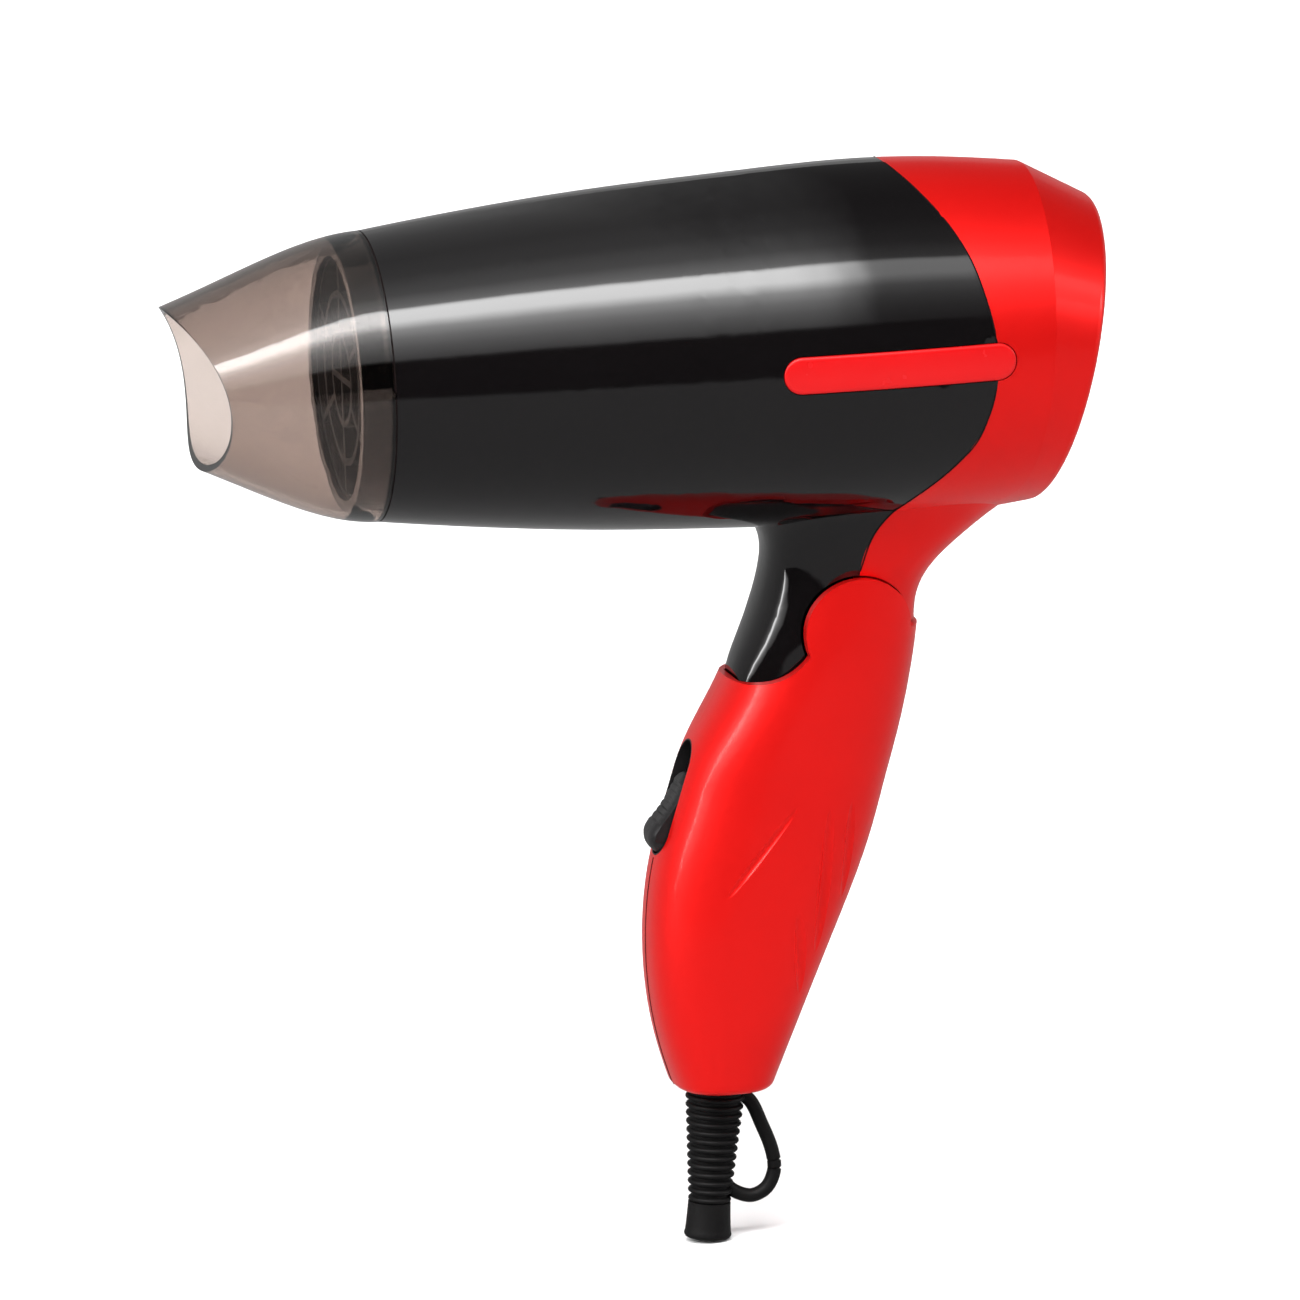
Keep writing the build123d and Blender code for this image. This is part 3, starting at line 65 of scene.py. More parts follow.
class Finish:
    """A procedural material under construction, with short calls for the nodes it takes."""

    def __init__(self, name):
        self.material = bpy.data.materials.new(name)
        self.material.use_nodes = True
        self.tree = self.material.node_tree
        self.shader = self.tree.nodes["Principled BSDF"]
        self.place = self.node("ShaderNodeTexCoord").outputs["Object"]

    def node(self, kind, inputs=None, **settings):
        made = self.tree.nodes.new(kind)
        for key, value in settings.items():
            setattr(made, key, value)
        for key, value in (inputs or {}).items():
            if isinstance(value, bpy.types.NodeSocket):
                self.tree.links.new(value, made.inputs[key])
            else:
                made.inputs[key].default_value = value
        return made

    def noise(self, scale, detail=2.0, place=None):
        inputs = {"Vector": place or self.place, "Scale": scale, "Detail": detail}
        return self.node("ShaderNodeTexNoise", inputs).outputs["Fac"]

    def spread(self, value, low, high, start=0.0, end=1.0):
        inputs = {"Value": value, "From Min": start, "From Max": end, "To Min": low, "To Max": high}
        return self.node("ShaderNodeMapRange", inputs).outputs["Result"]

    def tint(self, share, first, second):
        mix = self.node("ShaderNodeMix", data_type="RGBA")
        self.tree.links.new(share, mix.inputs["Factor"])
        mix.inputs["A"].default_value = (*first, 1)
        mix.inputs["B"].default_value = (*second, 1)
        return mix.outputs["Result"]

    def bump(self, height, distance, strength=1.0):
        inputs = {"Height": height, "Distance": distance, "Strength": strength}
        return self.node("ShaderNodeBump", inputs).outputs["Normal"]

    def set(self, **sockets):
        for words, value in sockets.items():
            socket = self.shader.inputs[words.replace("_", " ")]
            if isinstance(value, bpy.types.NodeSocket):
                self.tree.links.new(value, socket)
            else:
                socket.default_value = value
        return self


def dress(finish, *names):
    for name in names:
        mesh = nodes[name].data
        mesh.materials.clear()
        mesh.materials.append(finish.material)


black_gloss = Finish("black_gloss")
handling = black_gloss.noise(35, 4)
black_gloss.set(
    **{"Base Color": black_gloss.tint(handling, (0.0018, 0.0014, 0.0016), (0.0032, 0.0026, 0.0028)),
       "Roughness": black_gloss.spread(handling, 0.035, 0.075, 0.3, 0.7),
       "Normal": black_gloss.bump(black_gloss.noise(60), 0.00006)},
    IOR=1.52)
dress(black_gloss, "front_shell")

# ---- Rear shell and handle halves --------------------------------------------------------
# The red pieces are moulded in ABS and sprayed with a pearl lacquer, whose fine flakes give
# a soft metallic sheen. The lacquer's tone varies a little at random.

red_pearl = Finish("red_pearl")
flakes = red_pearl.node("ShaderNodeTexVoronoi", {"Vector": red_pearl.place, "Scale": 5200.0})
cloud = red_pearl.noise(28, 3)
red_pearl.set(
    **{"Base Color": red_pearl.tint(cloud, (0.76, 0.0030, 0.0022), (0.90, 0.006, 0.004)),
       "Roughness": red_pearl.spread(flakes.outputs["Color"], 0.30, 0.40),
       "Normal": red_pearl.bump(flakes.outputs["Distance"], 0.00002, 0.35)},
    Metallic=0.65, Coat_Weight=0.16, Coat_Roughness=0.08)
dress(red_pearl, "rear_shell", "handle_left", "handle_right")

# ---- Side strips -------------------------------------------------------------------------
# Two raised strips in plain gloss red cover the screws that hold the barrel's halves. They
# have rounded rims, are pressed in after the screws, and keep a fine moulded grain.

red_gloss = Finish("red_gloss")
red_gloss.set(
    **{"Base Color": red_gloss.tint(red_gloss.noise(90, 3), (0.43, 0.003, 0.004), (0.46, 0.004, 0.005)),
       "Roughness": red_gloss.spread(red_gloss.noise(300), 0.24, 0.29),
       "Normal": red_gloss.bump(red_gloss.noise(900), 0.000003)},
    Specular_IOR_Level=0.22)
STRIP_RIM = 0.0009       # width of the rim that rounds over, in metres
STRIP_RAISE = 0.00045    # how far the rim falls
STRIP_STATIONS = 120
STRIP_ACROSS = 24
END_CROWDING = 0.9       # how much closer the stations stand at the round ends
SAMPLES_ALONG = 40
SAMPLES_ACROSS = 4
SAMPLED_SHARE = 0.9
OUTSIDE = 0.2            # distance from which points are thrown onto the dryer's skin
SHARP_EDGE = radians(40)


def tree_of(*names):
    """Search tree over the outside of some nodes, for placing points on it."""
    corners = []
    faces = []
    for name in names:
        start = len(corners)
        mesh = nodes[name].data
        corners += [corner.co.copy() for corner in mesh.vertices]
        faces += [[start + index for index in face.vertices] for face in mesh.polygons]
    return BVHTree.FromPolygons(corners, faces)


def finish_mesh(name, shape):
    """Object from a bmesh, smooth but for its sharp edges, in the scene."""
    bmesh.ops.recalc_face_normals(shape, faces=shape.faces)
    for face in shape.faces:
        face.smooth = True
    for edge in shape.edges:
        edge.smooth = edge.calc_face_angle(0) < SHARP_EDGE
    mesh = bpy.data.meshes.new(name)
    shape.to_mesh(mesh)
    shape.free()
    made = bpy.data.objects.new(name, mesh)
    bpy.context.scene.collection.objects.link(made)
    return made


def bent_terms(along, across):
    """Terms of the smooth sheet that a strip's outside follows, in shares of its size."""
    lengthwise = [1.0, along, along ** 2, along ** 3]
    return lengthwise + [across, across ** 2, along * across, along * across ** 2]


def rounded_strip(name, source, side):
    """Bar with round ends whose rim rounds over, lying where the strip's own node lies."""
    low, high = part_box(source)
    reach = (high.z - low.z) / 2
    middle = (high.z + low.z) / 2
    half_length = (high.x - low.x) / 2
    inner = low.y if side > 0 else high.y
    outside = tree_of(source)
    terms = []
    levels = []
    for step in range(SAMPLES_ALONG + 1):
        x = low.x + reach + (high.x - low.x - 2 * reach) * step / SAMPLES_ALONG
        for rank in range(-SAMPLES_ACROSS, SAMPLES_ACROSS + 1):
            z = SAMPLED_SHARE * reach * rank / SAMPLES_ACROSS
            hit = outside.ray_cast(Vector((x, side * OUTSIDE, middle + z)), Vector((0, -side, 0)))[0]
            terms.append(bent_terms((x - low.x) / half_length - 1, z / reach))
            levels.append(hit.y)
    bend = np.linalg.lstsq(np.array(terms), np.array(levels), rcond=None)[0]
    shape = bmesh.new()
    rows = []
    for station in range(STRIP_STATIONS + 1):
        share = station / STRIP_STATIONS
        x = low.x + (high.x - low.x) * (share - sin(2 * pi * share) / (2 * pi) * END_CROWDING)
        spine = min(max(x, low.x + reach), high.x - reach)
        half_width = max(reach ** 2 - (x - spine) ** 2, 1e-9) ** 0.5
        top_row = []
        base_row = []
        for step in range(STRIP_ACROSS + 1):
            z = half_width * sin(pi * (step / STRIP_ACROSS - 0.5))
            away = Vector((x - spine, z))
            level = float(np.dot(bend, bent_terms((x - low.x) / half_length - 1, z / reach)))
            level = max(low.y, min(high.y, level))
            near = max(0.0, min(1.0, (reach - away.length) / STRIP_RIM))
            drop = STRIP_RAISE * (1 - (1 - (1 - near) ** 2) ** 0.5)
            top_row.append(shape.verts.new((x, level - side * drop, middle + z)))
            base_row.append(shape.verts.new((x, inner, middle + z)))
        rows.append((top_row, base_row))
    for (top, base), (next_top, next_base) in zip(rows, rows[1:]):
        for step in range(STRIP_ACROSS):
            shape.faces.new((top[step], top[step + 1], next_top[step + 1], next_top[step]))
            shape.faces.new((base[step], next_base[step], next_base[step + 1], base[step + 1]))
        for edge in (0, STRIP_ACROSS):
            shape.faces.new((top[edge], next_top[edge], next_base[edge], base[edge]))
    for top, base in (rows[0], rows[-1]):
        for step in range(STRIP_ACROSS):
            shape.faces.new((top[step], base[step], base[step + 1], top[step + 1]))
    strip = finish_mesh(name, shape)
    strip.data.materials.append(red_gloss.material)
    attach(strip, "barrel")
    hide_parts(source)


rounded_strip("rounded_strip_left", "side_strip_left", -1)
rounded_strip("rounded_strip_right", "side_strip_right", 1)

# ---- Joint lines -------------------------------------------------------------------------
# The mouldings meet in narrow grooves, whose shade is painted on as thin dark tubes: down the seam
# between the barrel's shells, round each side strip, behind the nozzle, and down the handle's halves.

LINE_RADIUS = 0.00016
JOINT_RADIUS = 0.00042
JOINT_SETBACK = 0.00015
JOINT_STEPS = 120
OUTLINE_GAP = 0.0001     # between a strip and the line round it
OUTLINE_STEPS = 48
OUTLINE_PITCH = 0.002
OUTLINE_FALL = 0.0015    # points that fall deeper than this into the seam are left out
GRIP_LINE_STEPS = 90
GRIP_LINE_LENGTH = 0.088
GRIP_LINE_END = 0.0006
GRIP_LINE_JUMP = 0.0015  # a longer jump is an edge, where the line breaks off
GRIP_LINE_SHARE = 0.8
GRIP_MIDDLE = 0.08
BESIDE_JOINT = -0.0002
SEAM = [(104.6, 37.5), (109.3, 32.2), (114.2, 25.0), (117.7, 16.0), (120.2, 0.0), (117.3, -14.0),
        (112.2, -21.5), (103.6, -30.0), (98.3, -36.5), (95.6, -44.0)]
# painted shade: near-black colour for the tubes that stand in for the grooves' shade
joint_shade = Finish("joint_shade")
joint_shade.set(
    **{"Base Color": joint_shade.tint(joint_shade.noise(400), (0.002, 0.001, 0.001), (0.008, 0.003, 0.003)),
       "Roughness": joint_shade.spread(joint_shade.noise(900), 0.7, 0.9),
       "Normal": joint_shade.bump(joint_shade.noise(2500), 0.00002)},
    Specular_IOR_Level=0.1)


def tube_mesh(name, runs, radius, around=8):
    """Closed tubes along lists of points, as one mesh."""
    shape = bmesh.new()
    for run in runs:
        rings = []
        for step, point in enumerate(run):
            ahead_point = run[min(step + 1, len(run) - 1)]
            behind_point = run[max(step - 1, 0)]
            turn = (ahead_point - behind_point).to_track_quat("Z", "Y").to_matrix()
            ring = []
            for spoke in range(around):
                angle = 2 * pi * spoke / around
                spoke_way = turn @ Vector((cos(angle), sin(angle), 0))
                ring.append(shape.verts.new(point + spoke_way * radius))
            rings.append(ring)
        for first, second in zip(rings, rings[1:]):
            for spoke in range(around):
                after = (spoke + 1) % around
                shape.faces.new((first[spoke], first[after], second[after], second[spoke]))
        shape.faces.new(list(reversed(rings[0])))
        shape.faces.new(rings[-1])
    return finish_mesh(name, shape)


def smooth_curve(points, steps):
    """Points along a smooth curve through the given ones, as vectors."""
    given = [Vector(point) for point in points]
    ends = [2 * given[0] - given[1]] + given + [2 * given[-1] - given[-2]]
    passed = []
    for a, b, c, d in zip(ends, ends[1:], ends[2:], ends[3:]):
        for step in range(steps):
            t = step / steps
            passed.append(0.5 * (2 * b + (c - a) * t + (2 * a - 5 * b + 4 * c - d) * t ** 2
                                 + (3 * b - a - 3 * c + d) * t ** 3))
    return passed + [given[-1]]


def on_skin(tree, start, direction):
    """First place on the skin from a start outside it, or None."""
    return tree.ray_cast(start, direction)[0]


barrel_skin = tree_of("front_shell", "rear_shell")
seam_runs = []
for side in (-1, 1):
    run = []
    for spot in smooth_curve([(x / 1000, 0, z / 1000) for x, z in SEAM], 8):
        hit = on_skin(barrel_skin, Vector((spot.x, side * OUTSIDE, spot.z)), Vector((0, -side, 0)))
        if hit is not None:
            run.append(hit)
    seam_runs.append(run)
for name in ("side_strip_left", "side_strip_right"):
    low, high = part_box(name)
    side = -1 if name.endswith("left") else 1
    reach = (high.z - low.z) / 2 + OUTLINE_GAP
    middle = (high.z + low.z) / 2
    outline = []
    for step in range(OUTLINE_STEPS + 1):
        angle = 2 * pi * step / OUTLINE_STEPS
        centre = high.x - reach if cos(angle) >= 0 else low.x + reach
        outline.append((centre + reach * cos(angle), middle + reach * sin(angle)))
    run = []
    for first, second in zip(outline, outline[1:]):
        parts = max(1, int(abs(second[0] - first[0]) / OUTLINE_PITCH))
        for part in range(parts):
            x = first[0] + (second[0] - first[0]) * part / parts
            z = first[1] + (second[1] - first[1]) * part / parts
            hit = on_skin(barrel_skin, Vector((x, side * OUTSIDE, z)), Vector((0, -side, 0)))
            if hit is not None:
                run.append(hit)
    run.append(run[0])
    strip_level = max(abs(point.y) for point in run)
    seam_runs.append([point for point in run if abs(point.y) > strip_level - OUTLINE_FALL])
nozzle_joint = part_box("nozzle")[1].x
joint_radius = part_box("nozzle")[1].y - JOINT_RADIUS
ring = []
for step in range(JOINT_STEPS + 1):
    angle = 2 * pi * step / JOINT_STEPS
    ring.append(Vector((nozzle_joint + JOINT_SETBACK, joint_radius * cos(angle), joint_radius * sin(angle))))
# dark tubes along the barrel's seam and round the strips, and a dark ring behind the nozzle: painted shade
# of the grooves
barrel_shade_lines = tube_mesh("barrel_joint_shade_lines", seam_runs, LINE_RADIUS)
joint_ring = tube_mesh("nozzle_joint_shade_ring", [ring], JOINT_RADIUS)
joint_ring.data.materials.append(joint_shade.material)
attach(joint_ring, "barrel")
barrel_shade_lines.data.materials.append(joint_shade.material)
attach(barrel_shade_lines, "barrel")

handle_skin = tree_of("handle_left", "handle_right")
grip_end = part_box("handle_left")[0].z
grip_runs = []
for toward in (1, -1):
    run = []
    for step in range(GRIP_LINE_STEPS):
        share = step / (GRIP_LINE_STEPS - 1)
        level = grip_end + GRIP_LINE_END + (GRIP_LINE_LENGTH - 2 * GRIP_LINE_END) * share
        start = Vector((GRIP_MIDDLE - toward * OUTSIDE, BESIDE_JOINT, level))
        hit = on_skin(handle_skin, start, Vector((toward, 0, 0)))
        near = hit is not None and (not run or abs(hit.x - run[-1].x) < GRIP_LINE_JUMP)
        if near:
            run.append(hit)
        elif len(run) > 1:
            grip_runs.append(run)
            run = []
    grip_runs.append(run)
grip_runs = [run for run in grip_runs if len(run) > 1]
# dark tubes down the handle's halves: painted shade of the groove between them
handle_shade_lines = tube_mesh("handle_joint_shade_lines", grip_runs, LINE_RADIUS * GRIP_LINE_SHARE)
handle_shade_lines.data.materials.append(joint_shade.material)
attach(handle_shade_lines, "handle")

# ---- Nozzle ------------------------------------------------------------------------------
# The concentrator is a clear smoke-tinted polycarbonate moulding that snaps over the spigot
# and turns on it. Its wall has faint flow lines from the mould.

smoked_clear = Finish("smoked_clear")
smoked_clear.set(
    **{"Base Color": smoked_clear.tint(smoked_clear.noise(30), (0.74, 0.69, 0.665), (0.79, 0.74, 0.715)),
       "Roughness": smoked_clear.spread(smoked_clear.noise(120), 0.015, 0.035),
       "Normal": smoked_clear.bump(smoked_clear.noise(45), 0.00005)},
    Transmission_Weight=1.0, IOR=1.50)
SMOKE_COLOUR = (0.30, 0.16, 0.08, 1)
SMOKE_DENSITY = 390.0
smoke = smoked_clear.node("ShaderNodeVolumeAbsorption", {"Color": SMOKE_COLOUR, "Density": SMOKE_DENSITY})
smoked_output = smoked_clear.tree.nodes["Material Output"]
smoked_clear.tree.links.new(smoke.outputs["Volume"], smoked_output.inputs["Volume"])
dress(smoked_clear, "nozzle")

# ---- Black working plastic ---------------------------------------------------------------
# The grilles, motor mount and switch body are glass-filled nylon with a fine spark-eroded
# grain, left matte so that they stand heat.

black_grain = Finish("black_grain")
black_grain.set(
    **{"Base Color": black_grain.tint(black_grain.noise(200, 4), (0.006, 0.0055, 0.006),
                                      (0.012, 0.011, 0.0115)),
       "Roughness": black_grain.spread(black_grain.noise(700), 0.42, 0.60),
       "Normal": black_grain.bump(black_grain.noise(1600, 3), 0.00006)})
dress(black_grain, "outlet_grille", "motor_mount", "switch_body", "intake_grille")

# ---- Switch slider -----------------------------------------------------------------------
# The thumb piece is a black saddle-shaped button with fine grooves across its slope, on a
# plate that slides behind the handle's window. A black frame lines the window.

SWITCH_PLACE = Vector((58.7, 0.0, -89.8))
SWITCH_LEAN = radians(19.8)
WINDOW_LENGTH = 24.5
WINDOW_WIDTH = 11.0
TRAVEL = 6.0
BUTTON_WIDTH = 9.8
# side outline of the button: (up the travel, outwards) from its lower end, in millimetres
BUTTON_OUTLINE = [(0.0, -1.8), (0.35, 0.4), (1.5, 2.0), (3.6, 2.75), (6.0, 2.3), (9.0, 1.2),
                  (12.5, 0.35), (15.5, -0.2), (17.0, -0.9), (17.3, -1.8)]
BUTTON_END_GAP = 0.6
BUTTON_TIP = 0.9         # least half-width, at the button's ends
BUTTON_STEPS = 20
SHOULDER_DROP = 0.9
SHOULDER_POWER = 5
DISH = (6.0, 15.0, 0.35)  # start, end and depth of the hollow for the thumb
PLATE_HALF_WIDTH = 6.0
PLATE_LAP = 0.5
PEG_HALF = 1.5
PEG_LEVELS = (-9.7, -5.7)
SLAB_CORNER = 0.35       # corner radius of a flat plate, as a share of its half-width
PLATE_LEVEL = -4.5
PLATE_THICKNESS = 1.2
GROOVES = 7
GROOVE_START = 6.4
GROOVE_PITCH = 1.3
GROOVE_DEPTH = 0.28
GROOVE_MARGIN = 0.5

travel_way = Vector((sin(SWITCH_LEAN), 0, cos(SWITCH_LEAN)))
out_way = Vector((-cos(SWITCH_LEAN), 0, sin(SWITCH_LEAN)))
switch_place = Matrix((travel_way, out_way.cross(travel_way), out_way)).transposed().to_4x4()
switch_place = Matrix.Scale(0.001, 4) @ Matrix.Translation(SWITCH_PLACE) @ switch_place


def slab(shape, x0, x1, half_width, z0, z1, place, rounding=6):
    """Adds a flat plate with rounded ends, between two levels, given in millimetres."""
    loop = []
    corner = min(half_width, (x1 - x0) / 2) * SLAB_CORNER
    for end, start_angle, inward, across in ((x1, -pi / 2, -corner, corner - half_width),
                                             (x0, pi / 2, corner, half_width - corner)):
        for turn in (0, 1):
            level = across if turn == 0 else -across
            for step in range(rounding + 1):
                angle = start_angle + pi / 2 * turn + pi / 2 * step / rounding
                loop.append((end + inward + corner * cos(angle), level + corner * sin(angle)))
    lower = [shape.verts.new(place @ Vector((x, y, z0))) for x, y in loop]
    upper = [shape.verts.new(place @ Vector((x, y, z1))) for x, y in loop]
    for step in range(len(loop)):
        after = (step + 1) % len(loop)
        shape.faces.new((lower[step], lower[after], upper[after], upper[step]))
    shape.faces.new(upper)
    shape.faces.new(list(reversed(lower)))


button_shape = bmesh.new()
start = -WINDOW_LENGTH / 2 + BUTTON_END_GAP
outline = smooth_curve([(along, 0, out) for along, out in BUTTON_OUTLINE], 10)
length = BUTTON_OUTLINE[-1][0]
half_button = BUTTON_WIDTH / 2
grooves_end = GROOVE_START + GROOVE_PITCH * (GROOVES - 1)
rows = []
for spot in outline:
    along = min(max(spot.x, 0.0), length)
    from_end = min(along, length - along)
    short_of = max(0.0, half_button - from_end)
    width = max((half_button ** 2 - short_of ** 2) ** 0.5, BUTTON_TIP)
    groove = 0.0
    if GROOVE_START - GROOVE_MARGIN <= along <= grooves_end + GROOVE_MARGIN:
        groove = GROOVE_DEPTH * max(0.0, cos(2 * pi * (along - GROOVE_START) / GROOVE_PITCH)) ** 2
    row = []
    for step in range(BUTTON_STEPS + 1):
        share = -1 + 2 * step / BUTTON_STEPS
        drop = SHOULDER_DROP * abs(share) ** SHOULDER_POWER
        dish = DISH[2] * (1 - share ** 2) if DISH[0] < along < DISH[1] else 0.0
        level = spot.z - drop - dish - groove * (1 - abs(share) ** 6)
        row.append(button_shape.verts.new(switch_place @ Vector((start + along, width * share, level))))
    rows.append(row)
for first, second in zip(rows, rows[1:]):
    for step in range(BUTTON_STEPS):
        button_shape.faces.new((first[step], first[step + 1], second[step + 1], second[step]))
rim = [row[0] for row in rows] + rows[-1][1:-1]
rim += [row[-1] for row in reversed(rows)] + list(reversed(rows[0][1:-1]))
to_switch = switch_place.inverted()
base = []
for corner in rim:
    spot = to_switch @ corner.co
    base.append(button_shape.verts.new(switch_place @ Vector((spot.x, spot.y, PLATE_LEVEL))))
for step in range(len(rim)):
    after = (step + 1) % len(rim)
    button_shape.faces.new((rim[step], rim[after], base[after], base[step]))
button_shape.faces.new(base)
plate_low = -WINDOW_LENGTH / 2 - PLATE_LAP - TRAVEL
plate_high = WINDOW_LENGTH / 2 + PLATE_LAP
plate_under = PLATE_LEVEL - PLATE_THICKNESS
slab(button_shape, plate_low, plate_high, PLATE_HALF_WIDTH, plate_under, PLATE_LEVEL, switch_place)
slab(button_shape, -TRAVEL / 2 - PEG_HALF, -TRAVEL / 2 + PEG_HALF, PEG_HALF, *PEG_LEVELS, switch_place)
button = finish_mesh("thumb_button", button_shape)
button_black = Finish("button_black")
button_black.set(
    **{"Base Color": button_black.tint(button_black.noise(260, 4), (0.0025, 0.0020, 0.0024),
                                       (0.006, 0.005, 0.0055)),
       "Roughness": button_black.spread(button_black.noise(800), 0.34, 0.48),
       "Normal": button_black.bump(button_black.noise(1800, 3), 0.00004)})
button.data.materials.append(button_black.material)
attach(button, "switch")
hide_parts("switch_slider")

FRAME_WALL = 0.28
FRAME_PLAY = 0.02        # between the frame and the window's edge
FRAME_STAND = 0.07       # how far the frame's lip stands over the skin
FRAME_DEPTH = 2.55
FRAME_STEPS = 64
LEVEL_RANGE = (-2.0, 0.0)
PROBE_SPREAD = (1.02, 1.04)
PROBE_HEIGHT = 12.0
frame_shape = bmesh.new()
outer_radius = WINDOW_WIDTH / 2 - FRAME_PLAY
inner_radius = outer_radius - FRAME_WALL
probe_way = switch_place.to_3x3() @ Vector((0, 0, -1))
made_rings = []
for step in range(FRAME_STEPS):
    angle = 2 * pi * step / FRAME_STEPS
    centre = (WINDOW_LENGTH - WINDOW_WIDTH) / 2 * (1 if cos(angle) >= 0 else -1)
    edge_x = centre + outer_radius * cos(angle)
    edge_y = outer_radius * sin(angle)
    probe = switch_place @ Vector((edge_x * PROBE_SPREAD[0], edge_y * PROBE_SPREAD[1], PROBE_HEIGHT))
    hit = on_skin(handle_skin, probe, probe_way)
    level = (to_switch @ hit).z if hit is not None else 0.0
    level = min(LEVEL_RANGE[1], max(level, LEVEL_RANGE[0]))
    ring = []
    for radius, rise in ((outer_radius, FRAME_STAND), (inner_radius, FRAME_STAND),
                         (inner_radius, -FRAME_DEPTH), (outer_radius, -FRAME_DEPTH)):
        spot = Vector((centre + radius * cos(angle), radius * sin(angle), level + rise))
        ring.append(frame_shape.verts.new(switch_place @ spot))
    made_rings.append(ring)
for first, second in zip(made_rings, made_rings[1:] + made_rings[:1]):
    for step in range(4):
        after = (step + 1) % 4
        frame_shape.faces.new((first[step], first[after], second[after], second[step]))
window_frame = finish_mesh("switch_window_frame", frame_shape)
window_frame.data.materials.append(button_black.material)
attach(window_frame, "handle")

# ---- Strain relief -----------------------------------------------------------------------
# The ribbed boot and its hanging loop are one black soft-PVC moulding, clamped in the
# handle's end. Its tone and gloss vary a little at random.

boot_rubber = Finish("boot_rubber")
boot_rubber.set(
    **{"Base Color": boot_rubber.tint(boot_rubber.noise(150, 4), (0.0018, 0.0016, 0.0018),
                                      (0.0050, 0.0046, 0.0046)),
       "Roughness": boot_rubber.spread(boot_rubber.noise(500), 0.45, 0.62),
       "Normal": boot_rubber.bump(boot_rubber.noise(1300, 3), 0.00005)},
    Specular_IOR_Level=0.15)

BOOT_TOP = Vector((65.8, 0.0, -149.3))
BOOT_LEAN = radians(5.0)
BOOT_LENGTH = 31.7
BELL_LENGTH = 7.4
COLLAR = 1.6
RIBS = 13
RIB_DEPTH = 0.75
BOOT_TOP_RADIUS = 6.2
BOOT_END_RADIUS = 4.3
BELL_RADIUS = 4.8
CORD_RADIUS = 3.2
COLLAR_EDGE = 0.3
BELL_EDGE = 0.9
RIB_START = 0.28         # where a rib swells out of its groove, as a share of the pitch
RIB_SHARE = 0.70
RIB_POWER = 0.45
FLANGE = [(3.2, -4.6), (6.6, -4.6), (6.6, -2.4), (5.4, -2.2), (5.4, 0.0)]
# the loop's centre line as (back, down) from the middle of the handle's end
LOOP = [(3.6, -1.6), (7.0, -4.2), (9.2, -9.2), (11.0, -14.2), (11.5, -18.6), (9.9, -22.2),
        (6.8, -23.7), (3.6, -22.8), (1.0, -20.8)]
LOOP_RADIUS = 0.00142


def turned_mesh(shape, outline, place, around=64):
    """Adds a closed (radius, along) outline in millimetres, turned about its own Z."""
    rings = []
    for spoke in range(around):
        angle = 2 * pi * spoke / around
        rings.append([shape.verts.new(place @ Vector((radius * cos(angle), radius * sin(angle), along)))
                      for radius, along in outline])
    count = len(outline)
    for spoke in range(around):
        first = rings[spoke]
        second = rings[(spoke + 1) % around]
        for step in range(count):
            after = (step + 1) % count
            shape.faces.new((first[step], first[after], second[after], second[step]))


aside = Vector((cos(BOOT_LEAN), 0, -sin(BOOT_LEAN)))
downward = Vector((-sin(BOOT_LEAN), 0, -cos(BOOT_LEAN)))
place = Matrix((aside, downward.cross(aside), downward)).transposed().to_4x4()
place = Matrix.Scale(0.001, 4) @ Matrix.Translation(BOOT_TOP) @ place
ribs_end = BOOT_LENGTH - BELL_LENGTH
pitch = (ribs_end - COLLAR) / RIBS
profile = FLANGE + [(BOOT_TOP_RADIUS - COLLAR_EDGE, 0.0), (BOOT_TOP_RADIUS, COLLAR_EDGE),
                    (BOOT_TOP_RADIUS, COLLAR - COLLAR_EDGE)]
for rib in range(RIBS):
    for share in (0.0, 0.14, 0.28, 0.34, 0.44, 0.58, 0.72, 0.86, 0.95):
        level = COLLAR + pitch * (rib + share)
        radius = BOOT_TOP_RADIUS + (BOOT_END_RADIUS - BOOT_TOP_RADIUS) * level / ribs_end
        swell = 0.0 if share < 0.3 else sin(pi * (share - RIB_START) / RIB_SHARE) ** RIB_POWER
        profile.append((radius - RIB_DEPTH * (1 - swell), level))
for share in (0.0, 0.08, 0.2, 0.4, 0.6, 0.8):
    flare = BOOT_END_RADIUS + (BELL_RADIUS - BOOT_END_RADIUS) * share ** 1.5
    profile.append((flare, ribs_end + BELL_LENGTH * share))
for step in range(5):
    angle = pi / 2 * step / 4
    profile.append((BELL_RADIUS - BELL_EDGE + BELL_EDGE * cos(angle),
                    BOOT_LENGTH - BELL_EDGE + BELL_EDGE * sin(angle)))
profile += [(CORD_RADIUS + COLLAR_EDGE, BOOT_LENGTH), (CORD_RADIUS, BOOT_LENGTH - COLLAR_EDGE)]
boot_shape = bmesh.new()
turned_mesh(boot_shape, profile, place)
loop_run = smooth_curve([((BOOT_TOP.x + x) / 1000, 0, (BOOT_TOP.z + z) / 1000) for x, z in LOOP], 10)
loop_piece = tube_mesh("hanging_loop", [loop_run], LOOP_RADIUS, 24)
boot_shape.from_mesh(loop_piece.data)
bpy.data.objects.remove(loop_piece)
boot = finish_mesh("ribbed_boot", boot_shape)
boot.data.materials.append(boot_rubber.material)
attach(boot, "handle")
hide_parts("strain_relief")

# ---- Steel hardware ----------------------------------------------------------------------
# Zinc-plated screws, the pivot tube with its washers, the detent spring, the motor's can
# and shaft: drawn or turned steel with fine lines.


